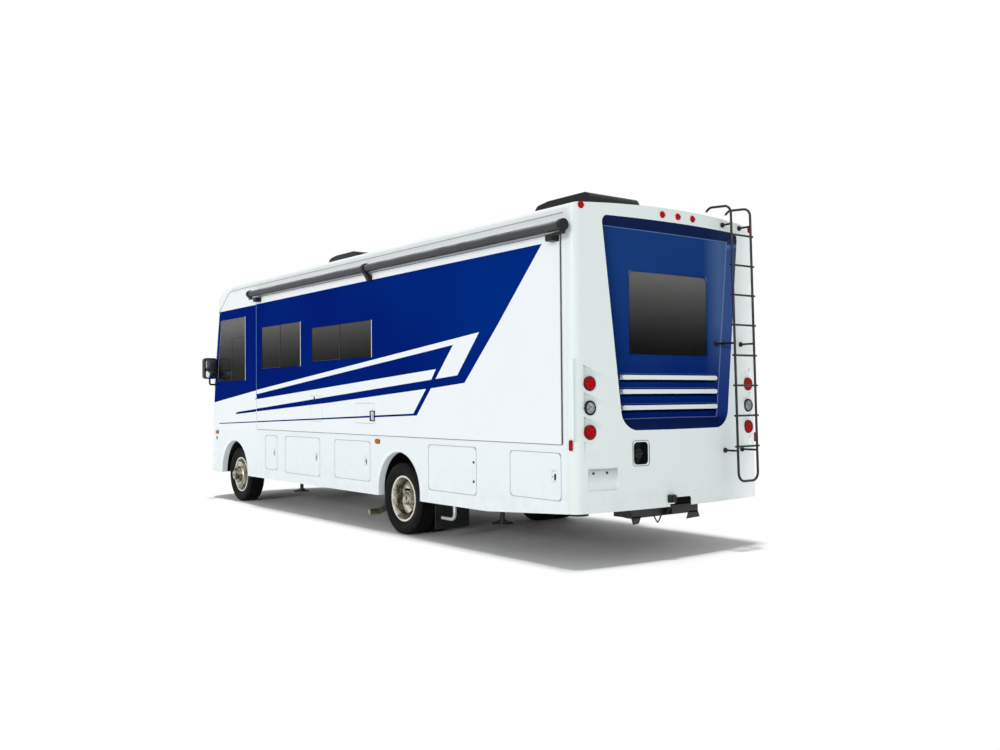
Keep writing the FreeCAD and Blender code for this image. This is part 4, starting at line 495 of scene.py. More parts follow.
def polished_steel():
    """Polished wheels with a warm cast, darker in painted reflections that ring the dish, and pale
    at the lip.
    """
    finish = Finish("polished_steel")
    up = finish.z - WHEEL_Z
    front = finish.x - ahead(WHEELBASE)
    rear = finish.x - ahead(0.0)
    radius = ((front * front).lesser(rear * rear) + up * up).root()
    swirl = finish.noise(11.0, 3.0)
    # painted reflections: darker rings across the dish, mixed with the uneven polish of the swirl
    tone = radius.wave(0.052) * 0.50 + swirl.ramp(0.42, 0.62) * 0.62
    base = finish.coats(srgb(222, 219, 204), (tone, (84, 78, 64)),
                        (radius > 0.249, (226, 224, 214)))
    return finish.surface(base_color=base, metallic=0.72, roughness=0.16 + swirl * 0.16,
                          normal=finish.bump(swirl, 0.05, 0.001))


def pipe_metal():
    """Heat-stained steel on the engine's exhaust and plain grey steel on the generator's pipe."""
    finish = Finish("pipe_metal")
    stain = finish.noise(24.0, 5.0).ramp(0.35, 0.8)
    brown = finish.coats(srgb(158, 152, 132), (stain, (92, 82, 62)))
    grey = finish.coats(srgb(190, 196, 196), (stain, (136, 142, 144)))
    return finish.surface(base_color=finish.mix(finish.x < ahead(-0.5), brown, grey), metallic=0.8,
                          roughness=0.34 + stain * 0.2, normal=finish.bump(stain, 0.06, 0.001))


def moulded(name, clean, worn, grain_size, roughness):
    """Moulded plastic or rubber with a fine grain and some dust."""
    finish = Finish(name)
    grain = finish.cells(grain_size)
    dust = finish.noise(5.0, 4.0).ramp(0.45, 0.8)
    base = finish.coats(srgb(*clean), (dust * 0.35, worn))
    return finish.surface(base_color=base, roughness=roughness + dust * 0.12,
                          specular_ior_level=0.25, normal=finish.bump(grain, 0.25, 0.0006))


black_plastic = partial(moulded, "black_plastic", (17, 18, 20), (38, 39, 40), 900.0, 0.40)
black_rubber = partial(moulded, "black_rubber", (20, 21, 22), (44, 45, 45), 600.0, 0.62)
grey_rubber = partial(moulded, "grey_rubber", (74, 78, 80), (96, 99, 100), 600.0, 0.55)
dash_plastic = partial(moulded, "dash_plastic", (58, 57, 55), (82, 80, 76), 700.0, 0.5)


def tyre_rubber():
    finish = Finish("tyre_rubber")
    dust = finish.noise(7.0, 5.0).ramp(0.4, 0.8)
    grain = finish.noise(380.0, 3.0)
    base = finish.coats(srgb(9, 9, 10), (dust * 0.45, (28, 27, 26)))
    return finish.surface(base_color=base, roughness=0.62 + dust * 0.2, specular_ior_level=0.12,
                          normal=finish.bump(grain, 0.3, 0.0008))


def cooler_plastic():
    """Black roof shrouds with rows of small vents, painted shade in their openings, and pale
    speckles.
    """
    finish = Finish("cooler_plastic")
    holes = (finish.x.wave(0.045) * finish.y.wave(0.030)).ramp(0.55, 0.75)
    speckle = finish.cells(38.0).ramp(0.0, 0.22)
    # painted shade: the vents' openings are darkened
    base = finish.coats(srgb(20, 22, 24), (holes * 0.8, (5, 6, 7)),
                        ((1 - speckle) * 0.6, (96, 118, 124)))
    return finish.surface(base_color=base, roughness=0.36 + holes * 0.2, specular_ior_level=0.15,
                          normal=finish.bump(1 - holes, 0.6, 0.004))


def ladder_paint():
    finish = Finish("ladder_paint")
    grain = finish.noise(500.0, 2.0)
    wear = finish.noise(26.0, 4.0).ramp(0.62, 0.8)
    base = finish.coats(srgb(22, 24, 26), (wear * 0.4, (84, 86, 88)))
    return finish.surface(base_color=base, roughness=0.34, specular_ior_level=0.25,
                          normal=finish.bump(grain, 0.15, 0.0004), coat_weight=0.08)


def white_enamel():
    finish = Finish("white_enamel")
    grain = finish.noise(300.0, 2.0)
    return finish.surface(base_color=settle(finish, srgb(232, 236, 238)), roughness=0.35,
                          normal=finish.bump(grain, 0.12, 0.0004), coat_weight=0.2)


def trim_blue():
    """A thin satin strip that looks blue beside the blue paint and grey beside the white."""
    finish = Finish("trim_blue")
    sheen = finish.noise(6.0, 2.0)
    low = finish.coats(srgb(206, 214, 218), (sheen * 0.4, (184, 194, 200)))
    high = finish.coats(srgb(86, 128, 190), (sheen * 0.6, (40, 84, 160)))
    return finish.surface(base_color=finish.mix(finish.z > 1.62, low, high),
                          roughness=0.3 + sheen * 0.1, specular_ior_level=0.1)


def grey_enamel():
    finish = Finish("grey_enamel")
    shade = finish.noise(14.0, 3.0)
    base = finish.coats(srgb(164, 174, 176), (shade * 0.4, (140, 150, 152)))
    return finish.surface(base_color=base, roughness=0.4 + shade * 0.1, specular_ior_level=0.2)


def chassis_paint():
    """Black frame paint with dust and spots of rust."""
    finish = Finish("chassis_paint")
    rust = finish.noise(11.0, 8.0).ramp(0.56, 0.72)
    dust = finish.noise(3.0, 4.0)
    base = finish.coats(srgb(18, 19, 20), (dust * 0.4, (46, 43, 40)), (rust * 0.45, (84, 52, 34)))
    return finish.surface(base_color=base, roughness=0.5 + rust * 0.35,
                          normal=finish.bump(rust + dust, 0.35, 0.0015))


def cast_iron():
    finish = Finish("cast_iron")
    pits = finish.noise(140.0, 6.0)
    rust = finish.noise(7.0, 6.0).ramp(0.5, 0.75)
    base = finish.coats(srgb(48, 47, 46), (rust * 0.6, (92, 68, 52)))
    return finish.surface(base_color=base, roughness=0.7, metallic=0.3,
                          normal=finish.bump(pits, 0.6, 0.002))


def zinc_sheet():
    """Galvanised sheet with its spangle."""
    finish = Finish("zinc_sheet")
    crystals = finish.cells(45.0, output="Color")
    tone = finish.node("ShaderNodeSeparateColor", {}, {0: crystals})
    base = finish.coats(srgb(150, 154, 156), (tone, (176, 180, 182)))
    return finish.surface(base_color=base, metallic=0.85, roughness=0.32 + tone * 0.15,
                          normal=finish.bump(tone, 0.05, 0.0005))


def deck_ply():
    finish = Finish("deck_ply")
    rings = finish.noise(5.0, 4.0, (1.0, 9.0, 9.0))
    base = finish.coats(srgb(176, 142, 98), (rings.ramp(0.35, 0.7), (128, 94, 58)))
    return finish.surface(base_color=base, roughness=0.55 + rings * 0.2,
                          normal=finish.bump(rings, 0.3, 0.001))


def seat_cloth():
    """Woven cloth with crossed threads."""
    finish = Finish("seat_cloth")
    thread = 0.003
    weave = finish.x.wave(thread) * finish.z.wave(thread) + finish.y.wave(thread) * 0.5
    blotch = finish.noise(4.0, 3.0)
    base = finish.coats(srgb(96, 92, 86), (weave * 0.5 + blotch * 0.4, (66, 63, 60)))
    return finish.surface(base_color=base, roughness=0.75 + blotch * 0.15,
                          normal=finish.bump(weave, 0.4, 0.0006), sheen_weight=0.4,
                          sheen_roughness=0.4)


def topper_vinyl():
    """Dark ribbed vinyl with a painted highlight along the top of the roll."""
    finish = Finish("topper_vinyl")
    turned = (finish.z - ROLLER_Z).ramp(-0.047, 0.047)
    weave = finish.x.wave(0.004) * turned.wave(0.08)
    blotch = finish.noise(5.0, 4.0, (0.3, 1.0, 1.0))
    # painted highlight along the top of the roll, broken up by noise
    top_highlight = finish.z.ramp(3.113, 3.130) * finish.noise(9.0, 3.0, (0.4, 1.0, 1.0)).ramp(0.35, 0.6)
    base = finish.coats(srgb(28, 30, 31), (blotch * 0.6, (54, 56, 57)),
                        (top_highlight * 0.7, (142, 146, 148)))
    return finish.surface(base_color=base, roughness=0.42 + blotch * 0.2,
                          normal=finish.bump(weave + blotch, 0.25, 0.0008), coat_weight=0.12)


SLOT_FINISHES = {
    "shell_white": side_paint, "skirt_white": skirt_paint, "roof_white": roof_skin,
    "dark_glass": tinted_glass, "lamp_red": red_lens, "lamp_clear": clear_lens,
    "chrome_trim": bright_trim, "black_plastic": black_plastic, "white_metal": white_enamel,
    "awning_fabric": topper_vinyl, "frame_steel": chassis_paint, "cast_steel": cast_iron,
    "pipe_steel": pipe_metal, "deck_wood": deck_ply, "dash_plastic": dash_plastic,
    "seat_fabric": seat_cloth, "road_tyre": tyre_rubber, "rim_steel": polished_steel,
    "sheet_steel": zinc_sheet,
}
NODE_FINISHES = {"rear_cap": rear_paint, "ladder": ladder_paint, "roof_units": cooler_plastic}
# Slot names for the makers of the pieces added here, where a piece doesn't name its own; no piece
# is given one.
PIECE_SLOTS = {
    **{maker: slot for slot, maker in SLOT_FINISHES.items()},
    black_rubber: "black_plastic", grey_rubber: "black_plastic", mirror_glass: "chrome_trim",
    trim_blue: "chrome_trim", amber_lens: "lamp_red", grey_enamel: "shell_white",
    white_enamel: "skirt_white", ladder_paint: "black_metal",
}


@cache
def finish_of(maker):
    """The material that a maker gives, made once."""
    return maker()


def join(obj, maker, body, slot):
    """Gives a piece its place in the scene, its finish and its body."""
    bpy.context.scene.collection.objects.link(obj)
    obj.data.materials.append(finish_of(maker))
    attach(obj, body)
    slot or PIECE_SLOTS[maker]
    return obj


def add_piece(name, maker, body, fills, slot=None, angle=40):
    """Adds a mesh that each of the fills adds a form to, smooth where it turns less than angle."""
    shape = bmesh.new()
    for fill in fills:
        fill(shape)
    bmesh.ops.recalc_face_normals(shape, faces=shape.faces)
    mesh = bpy.data.meshes.new(name)
    shape.to_mesh(mesh)
    shape.free()
    mesh.shade_smooth()
    mesh.set_sharp_from_angle(angle=math.radians(angle))
    return join(bpy.data.objects.new(name, mesh), maker, body, slot)


def tube(name, maker, body, radius, paths):
    """Adds round bars along smooth runs of points."""
    curve = bpy.data.curves.new(name, "CURVE")
    curve.dimensions = "3D"
    curve.bevel_depth = radius
    curve.bevel_resolution = 3
    curve.use_fill_caps = True
    for path in paths:
        spline = curve.splines.new("POLY")
        spline.points.add(len(path) - 1)
        for point, spot in zip(spline.points, path):
            point.co = (*spot, 1.0)
    join(bpy.data.objects.new(name, curve), maker, body, None)


def rectangle(x0, x1, z0, z1):
    return [(x0, z0), (x1, z0), (x1, z1), (x0, z1)]


def around(x, z, half_width, half_height):
    """The bounds of a rectangle about a point."""
    return (x - half_width, x + half_width, z - half_height, z + half_height)


def disc(x, z, radius, steps):
    return [Vector((x + radius * math.cos(2 * math.pi * i / steps),
                    z + radius * math.sin(2 * math.pi * i / steps))) for i in range(steps)]


def rounded(corners, radius, steps=5, grow=0.0):
    """The points of a convex outline with its corners rounded, grown outward by grow."""
    count = len(corners)
    centre = (sum(u for u, v in corners) / count, sum(v for u, v in corners) / count)
    spots = [Vector((u + math.copysign(grow, u - centre[0]),
                     v + math.copysign(grow, v - centre[1]))) for u, v in corners]
    size = max(radius + grow, 0.0005)
    points = []
    for i, spot in enumerate(spots):
        back = (spots[i - 1] - spot).normalized()
        onward = (spots[(i + 1) % count] - spot).normalized()
        half = back.angle(onward) / 2
        middle = spot + (back + onward).normalized() * size / math.sin(half)
        start = spot + back * size / math.tan(half) - middle
        end = spot + onward * size / math.tan(half) - middle
        turn = start.angle_signed(end)
        points += [middle + Matrix.Rotation(-turn * j / steps, 2) @ start for j in range(steps + 1)]
    return points


def dense(points, steps=12):
    """The same outline with its long straight runs cut into steps, so that it follows a bow."""
    pairs = list(zip(points, points[1:] + points[:1]))
    longest = max((second - first).length for first, second in pairs)
    spots = []
    for first, second in pairs:
        parts = steps if (second - first).length > longest / 3 else 1
        spots += [first.lerp(second, j / parts) for j in range(parts)]
    return spots


def through(first, middle, last, steps):
    """Points along the arc through three points."""
    a, b, c = Vector(first), Vector(middle), Vector(last)
    d = 2 * (a.x * (b.y - c.y) + b.x * (c.y - a.y) + c.x * (a.y - b.y))
    squares = [p.length_squared for p in (a, b, c)]
    x = (squares[0] * (b.y - c.y) + squares[1] * (c.y - a.y) + squares[2] * (a.y - b.y)) / d
    y = (squares[0] * (c.x - b.x) + squares[1] * (a.x - c.x) + squares[2] * (b.x - a.x)) / d
    centre = Vector((x, y))
    start = a - centre
    turn = start.angle_signed(b - centre) + (b - centre).angle_signed(c - centre)
    return [centre + Matrix.Rotation(-turn * i / steps, 2) @ start for i in range(steps + 1)]


def on_side(face_y, side):
    """Places a point of the side view at a depth outward from a wall's face."""
    return lambda u, v, d: Vector((ahead(u), side * (face_y + d), v))


def on_rear(sunk, bow=REAR_BOW):
    """Places a point at a depth out of the bowed rear face, or of a floor sunk into it."""
    return lambda u, v, d: Vector((ahead(REAR_WALL) + sunk + u * u * bow - d, u, v))


def astern_of(x, side=1):
    """Places a point at a depth behind a flat that faces the rear."""
    return lambda u, v, d: Vector((ahead(x) - d, side * u, v))


def row_of(shape, points, place, depth):
    return [shape.verts.new(place(u, v, depth)) for u, v in points]


def bridge(shape, rows, closed=True):
    """Adds faces between each row of vertices and the next, all round where a row is closed."""
    for first, second in zip(rows, rows[1:]):
        for i in range(len(first) if closed else len(first) - 1):
            j = (i + 1) % len(first)
            shape.faces.new((first[i], first[j], second[j], second[i]))


def band(outer, inner, place, low, high):
    """Fills in a closed band between two outlines, from depth low to depth high."""
    def fill(shape):
        rows = [row_of(shape, points, place, depth) for points, depth in
                ((outer, low), (outer, high), (inner, high), (inner, low))]
        bridge(shape, rows + rows[:1])
    return fill


def rim(bounds, radius, place, low, high, outward, inward, steps=5):
    """Fills in a band along a rectangle with rounded corners."""
    edge = rectangle(*bounds)
    return band(rounded(edge, radius, steps, outward), rounded(edge, radius, steps, inward),
                place, low, high)


def plate(points, place, low, high, bevel):
    """Fills in a plate with a chamfered outer edge."""
    def fill(shape):
        middle = sum(points, Vector((0, 0))) / len(points)
        inner = [middle + (p - middle) * (1 - bevel / max((p - middle).length, bevel))
                 for p in points]
        rows = [row_of(shape, row, place, depth) for row, depth in
                ((points, low), (points, high - bevel), (inner, high))]
        bridge(shape, rows)
        shape.faces.new(rows[0])
        shape.faces.new(rows[-1])
    return fill


def pad(bounds, radius, place, low, high, bevel, steps=5):
    """Fills in a plate from a rectangle with rounded corners."""
    return plate(rounded(rectangle(*bounds), radius, steps), place, low, high, bevel)


def dome(bounds, radius, place, rise, rings=6):
    """Fills in a rounded plate that swells toward its middle, as a wide-view mirror does."""
    def fill(shape):
        corners = rectangle(*bounds)
        middle = (Vector(corners[0]) + Vector(corners[2])) / 2
        edge = rounded(corners, radius, 8)
        rows = [row_of(shape, edge, place, 0.0)]
        for i in range(rings):
            share = 1 - i / rings
            rows.append(row_of(shape, [middle.lerp(p, share) for p in edge], place,
                               0.002 + rise * (1 - share ** 2)))
        bridge(shape, rows)
        shape.faces.new(rows[0])
        tip = shape.verts.new(place(*middle, 0.002 + rise))
        for i, vertex in enumerate(rows[-1]):
            shape.faces.new((rows[-1][i - 1], vertex, tip))
    return fill


def spin(profile, centre, axis, across, segments, closed=False, notch=None):
    """Fills in a profile of (along, radius) points turned about an axis."""
    def fill(shape):
        up = axis.cross(across)
        rows = []
        for i in range(segments):
            angle = 2 * math.pi * i / segments
            ray = across * math.cos(angle) + up * math.sin(angle)
            depths = [notch(i, j) if notch else 0.0 for j in range(len(profile))]
            rows.append([shape.verts.new(centre + axis * along + ray * (radius - depth))
                         for (along, radius), depth in zip(profile, depths)])
        bridge(shape, rows + rows[:1], closed)
        if not closed:
            for j in (0, -1):
                if profile[j][1] > 0.0005:
                    shape.faces.new([row[j] for row in rows])
    return fill


def spin_astern(profile, y, z, segments, sunk=0.0, closed=False):
    """Fills in a turned form that stands out of the rear face."""
    return spin(profile, on_rear(sunk)(y, z, 0.0), ASTERN, LEFTWARD, segments, closed)


# Each tyre node, its body, its place along the coach and the middles of its tyres.
TYRES = (
    ("front_left_tyre", "wheel_front_left", WHEELBASE, (1.064,)),
    ("front_right_tyre", "wheel_front_right", WHEELBASE, (-1.064,)),
    ("rear_left_tyres", "wheels_rear_left", 0.0, (1.104, 0.830)),
    ("rear_right_tyres", "wheels_rear_right", 0.0, (-1.104, -0.830)),
)
# Each ring of nuts, its body, place and side, the disc's face, and the hub's length and end radius.
NUT_RINGS = (
    ("front_left_nuts", "wheel_front_left", WHEELBASE, 1, 1.196, 0.070, 0.067),
    ("front_right_nuts", "wheel_front_right", WHEELBASE, -1, 1.196, 0.070, 0.067),
    ("rear_left_nuts", "wheels_rear_left", 0.0, 1, 0.984, 0.160, 0.083),
    ("rear_right_nuts", "wheels_rear_right", 0.0, -1, 0.984, 0.160, 0.083),
)
NUT_CIRCLE = 0.112


def tyre_profile(wheel):
    """The outline from one bead over the grooved crown to the other bead."""
    bead, flange, middle, shoulder, crown, widest = 0.0887, 0.2613, 0.3345, 0.374, 0.0984, 0.123
    lower = through((bead, flange), ((bead + 2 * widest) / 3, (flange + middle) / 2),
                    (widest, middle), 8)
    upper = through((widest, middle), (0.1202, shoulder), (crown, WHEEL_Z), 8)
    wall = [(bead, 0.249), (bead, flange - 0.001), *map(tuple, lower[1:]),
            (0.1236, middle + 0.003), (0.1246, middle + 0.005), (0.1246, middle + 0.009),
            (0.1226, middle + 0.011), *map(tuple, upper[3:])]
    half = wheel.groove_width / 2
    floor = WHEEL_Z - wheel.groove_depth
    tread = []
    for centre in (0.066, 0.024, -0.024, -0.066):
        tread += [(centre + half, WHEEL_Z), (centre + half * 0.7, floor),
                  (centre - half * 0.7, floor), (centre - half, WHEEL_Z)]
    return wall + tread + [(-along, radius) for along, radius in reversed(wall)]


def tyre(x, y, wheel):
    """Fills in one tyre with notched shoulders and fine cuts across its ribs."""
    profile = tyre_profile(wheel)

    def notch(i, j):
        along, radius = profile[j]
        if radius > 0.385 and abs(along) > 0.094 and i % 3 == 0:
            return 0.006
        if radius > 0.4075 and abs(along) < 0.072 and i % 3 == (1 if along > 0 else 2):
            return 0.0022
        return 0.0

    return spin(profile, Vector((ahead(x), y, WHEEL_Z)), LEFTWARD, AHEAD, wheel.lug_pitches * 3,
                closed=True, notch=notch)


def hub_fittings(x, side, face, hub_length, end_radius, nut_radius):
    """The nuts with their washers and studs, and the hub's cap with its bolts."""
    axis = Vector((0, side, 0))
    middle = Vector((ahead(x), side * face, WHEEL_Z))
    end = middle + axis * hub_length
    washer = [(0.0, 0.001), (0.0, 0.0235), (0.004, 0.0235), (0.006, 0.020)]
    nut = [(0.005, nut_radius), (0.024, nut_radius), (0.029, nut_radius * 0.86),
           (0.0305, nut_radius * 0.5)]
    stud = [(0.029, 0.0105), (0.036, 0.0105), (0.038, 0.0085)]
    cap = [(0.0, end_radius + 0.001), (0.004, end_radius + 0.001), (0.006, end_radius - 0.003),
           (0.006, end_radius * 0.55), (0.012, end_radius * 0.52), (0.016, end_radius * 0.42),
           (0.017, 0.001)]
    bolt = [(0.005, 0.0075), (0.012, 0.0075), (0.0132, 0.006), (0.0132, 0.001)]
    fills = [spin(cap, end, axis, AHEAD, 40)]
    for i in range(8):
        ray = Matrix.Rotation(-math.pi * i / 4, 3, "Y") @ AHEAD
        centre = middle + ray * NUT_CIRCLE
        between = Matrix.Rotation(-math.pi / 8, 3, "Y") @ ray
        fills += [spin(washer, centre, axis, AHEAD, 20), spin(nut, centre, axis, ray, 6),
                  spin(stud, centre, axis, AHEAD, 14),
                  spin(bolt, end + between * end_radius * 0.78, axis, between, 6)]
    return fills


class MOTORHOME_OT_stage(bpy.types.Operator):
    """Sets the pale floor, the soft studio light and the camera"""

    bl_idname = "motorhome.stage"
    bl_label = "Stage and camera"

    def execute(self, context):
        stage = context.scene.motorhome_stage
        context.scene.view_settings.view_transform = "Standard"
        self.add_floor(context, stage)
        self.add_world(context, stage)
        self.add_sun(context, "key", stage.key, (0.0, -0.03, -1.0), 5)
        self.add_sun(context, "fill", stage.fill, (0.45, -0.83, -0.20), 20)
        self.add_sun(context, "far_fill", stage.fill / 4, (-0.60, 0.75, -0.30), 20)
        self.add_camera(context, stage)
        return {"FINISHED"}

    def add_floor(self, context, stage):
        """A pale floor that is plain white to the camera away from the coach and its shadow."""
        half = stage.floor_size / 2
        mesh = bpy.data.meshes.new("studio_floor")
        mesh.from_pydata([(x, y, 0) for x, y in rectangle(-half, half, -half, half)], [],
                         [(0, 1, 2, 3)])
        floor = bpy.data.objects.new("studio_floor", mesh)
        context.scene.collection.objects.link(floor)
        finish = Finish("studio_floor")
        shade = finish.coats(srgb(250, 250, 250), (finish.noise(0.7, 2.0) * 0.04, (246, 246, 246)))
        diffuse = finish.node("ShaderNodeBsdfDiffuse", {}, {"Color": shade})
        white = finish.node("ShaderNodeEmission", {}, {"Color": (1, 1, 1, 1), "Strength": 1.0})
        middle = (cad_low[0] + cad_high[0]) / 2
        beyond = abs(finish.x - middle) - (cad_high[0] - middle + 0.45)
        far = beyond.either(abs(finish.y) - HALF_WIDTH).ramp(0.0, 0.9)
        finish.end(finish.blend(far * finish.seen(), diffuse, white))
        mesh.materials.append(finish.material)

    def add_world(self, context, stage):
        """Even light, with white behind the object and in its reflections."""
        world = bpy.data.worlds.new("studio")
        nodes = Nodes(world, "ShaderNodeOutputWorld")
        light, white = (
            nodes.node("ShaderNodeBackground", {}, {"Color": tint, "Strength": strength})
            for tint, strength in (((0.97, 0.985, 1.0, 1.0), stage.sky), ((1, 1, 1, 1), 1.0)))
        nodes.end(nodes.blend(nodes.seen(), light, white))
        context.scene.world = world

    def add_sun(self, context, name, strength, toward, spread):
        lamp = bpy.data.lights.new(name, "SUN")
        lamp.energy = strength
        lamp.angle = math.radians(spread)
        sun = bpy.data.objects.new(name, lamp)
        sun.rotation_mode = "QUATERNION"
        sun.rotation_quaternion = Vector(toward).to_track_quat("-Z", "Y")
        context.scene.collection.objects.link(sun)

    def add_camera(self, context, stage):
        """The photograph's viewpoint: behind the coach's left rear corner, at eye height."""
        yaw, pitch, roll = (math.radians(a) for a in (-37.192, 1.324, -0.476))
        onward = Vector((math.cos(pitch) * math.cos(yaw), math.cos(pitch) * math.sin(yaw),
                         math.sin(pitch)))
        right = Vector((math.sin(yaw), -math.cos(yaw), 0))
        up = right.cross(onward)
        across = right * math.cos(roll) + up * math.sin(roll)
        upward = up * math.cos(roll) - right * math.sin(roll)
        data = bpy.data.cameras.new("camera")
        data.sensor_fit = "HORIZONTAL"
        data.sensor_width = 36.0
        data.lens = stage.lens
        data.clip_end = 500.0
        camera = bpy.data.objects.new("camera", data)
        turned = Matrix((across, upward, -onward)).transposed().to_4x4()
        camera.matrix_world = Matrix.Translation((-11.030, 7.091, 1.556)) @ turned
        context.scene.collection.objects.link(camera)
        context.scene.camera = camera


class MOTORHOME_OT_paint(bpy.types.Operator):
    """Gives every panel and part of the frame its finish"""

    bl_idname = "motorhome.paint"
    bl_label = "Paint and finishes"

    def execute(self, context):
        for part in frame["record"]["subparts"]:
            name = part["node"]
            maker = NODE_FINISHES.get(name) or SLOT_FINISHES[part["material_slot"]]
            mesh = frame["nodes"][name].data
            mesh.materials.clear()
            mesh.materials.append(finish_of(maker))
        return {"FINISHED"}


class MOTORHOME_OT_tyres(bpy.types.Operator):
    """Makes the road tyres with their grooves and shoulder lugs"""

    bl_idname = "motorhome.tyres"
    bl_label = "Tyres"

    def execute(self, context):
        wheel = context.scene.motorhome_wheel
        for node, body, x, places in TYRES:
            piece = add_piece(node + "_treaded", tyre_rubber, body,
                              [tyre(x, y, wheel) for y in places], angle=32)
            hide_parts(node)
        return {"FINISHED"}


class MOTORHOME_OT_wheel_fittings(bpy.types.Operator):
    """Adds the wheel nuts and hub caps"""

    bl_idname = "motorhome.wheel_fittings"
    bl_label = "Wheel nuts and hub caps"

    def execute(self, context):
        nut_radius = context.scene.motorhome_wheel.nut_radius
        for name, body, *hub in NUT_RINGS:
            add_piece(name, polished_steel, body, hub_fittings(*hub, nut_radius), angle=35)
        return {"FINISHED"}


class MOTORHOME_OT_window_trim(bpy.types.Operator):
    """Adds the window seals, the bars between sliding panes and the bright edge trim"""

    bl_idname = "motorhome.window_trim"
    bl_label = "Window trim"

    cab = [(4.362, 1.850), (5.479, 1.850), (5.334, 2.804), (4.362, 2.804)]
    entry = (3.260, 3.720, 1.750, 2.510)
    slide = ((2.445, 3.716, 2.003, 2.599), (0.531, 2.112, 2.051, 2.491))
    slide_bars = (3.094, 1.334)
    right = ((2.150, 2.950, 1.950, 2.600), (0.350, 1.450, 1.950, 2.600),
             (-2.350, -1.350, 2.050, 2.550))

    def execute(self, context):
        trim = context.scene.motorhome_trim
        self.add_seals(trim)
        self.add_rear_border(trim)
        self.add_bars(trim.mullion_width / 2)
        return {"FINISHED"}

    def add_seals(self, trim):
        def seal(corners, radius, face, side):
            return band(rounded(corners, 0.008, grow=trim.seal_width * 0.35),
                        rounded(corners, radius, grow=-trim.seal_width * 0.40),
                        on_side(face, side), -0.0045, trim.seal_stand)

        def seals(windows, face, side):
            return [seal(rectangle(*window), 0.028, face, side) for window in windows]

        cab = [seal(self.cab, 0.045, HALF_WIDTH, side) for side in SIDES]
        for name, body, fills in (
                ("slide_window_seals", "slide_out", seals(self.slide, FASCIA_Y, 1)),
                ("coach_window_seals", "coach", cab + seals(self.right, HALF_WIDTH, -1)),
                ("entry_window_seal", "entry_door", seals([self.entry], HALF_WIDTH, -1))):
            add_piece(name, black_rubber, body, fills)

    def add_rear_border(self, trim):
        corners = rectangle(-0.550, 0.550, 1.957, 2.746)
        width = trim.seal_width * 0.3
        outer, inner = (dense(rounded(corners, radius, 12, grow))
                        for radius, grow in ((0.014, width), (0.060, -width)))
        add_piece("rear_window_border", tinted_glass, "coach", [
            band(outer, inner, on_rear(RECESS_DEPTH, RECESS_BOW), -0.006, trim.seal_stand)])

    def add_bars(self, half):
        """The bars between panes, the slide-out's inner frames and the bright strips at an end."""
        def bar(middle, z0, z1, place):
            return pad((middle - half, middle + half, z0 + 0.004, z1 - 0.004), 0.002, place,
                       0.0, 0.004, 0.001, 2)

        def bright(x0, x1, z0, z1, face, side):
            return pad((x0, x1, z0, z1), 0.003, on_side(face, side), 0.0, 0.0034, 0.001, 2)

        place = on_side(FASCIA_Y - GLASS_INSET, 1)
        slide_bars = []
        for (x0, x1, z0, z1), middle in zip(self.slide, self.slide_bars):
            pane = (middle + half, x1 - 0.006, z0 + 0.006, z1 - 0.006)
            slide_bars += [bar(middle, z0, z1, place),
                           rim(pane, 0.02, place, 0.0, 0.003, 0.0, -0.008)]
        coach_bars = [
            pad(bounds, 0.002, on_side(HALF_WIDTH - GLASS_INSET, side), 0.0, 0.0035, 0.001, 2)
            for side in SIDES
            for bounds in ((4.370, 4.895, 2.492, 2.508), (4.886, 4.902, 1.860, 2.500))]
        coach_bars += [bar((x0 + x1) / 2, z0, z1, on_side(HALF_WIDTH - GLASS_INSET, -1))
                       for x0, x1, z0, z1 in self.right]
        add_piece("slide_window_bars", black_plastic, "slide_out", slide_bars)
        add_piece("slide_window_edges", bright_trim, "slide_out", [
            bright(x0 - 0.010, x0 + 0.004, z0 - 0.004, z1 + 0.004, FASCIA_Y, 1)
            for x0, x1, z0, z1 in self.slide])
        add_piece("coach_window_bars", black_plastic, "coach", coach_bars)
        add_piece("coach_window_edges", bright_trim, "coach", [
            bright(4.350, 4.364, 1.846, 2.808, HALF_WIDTH, side) for side in SIDES])


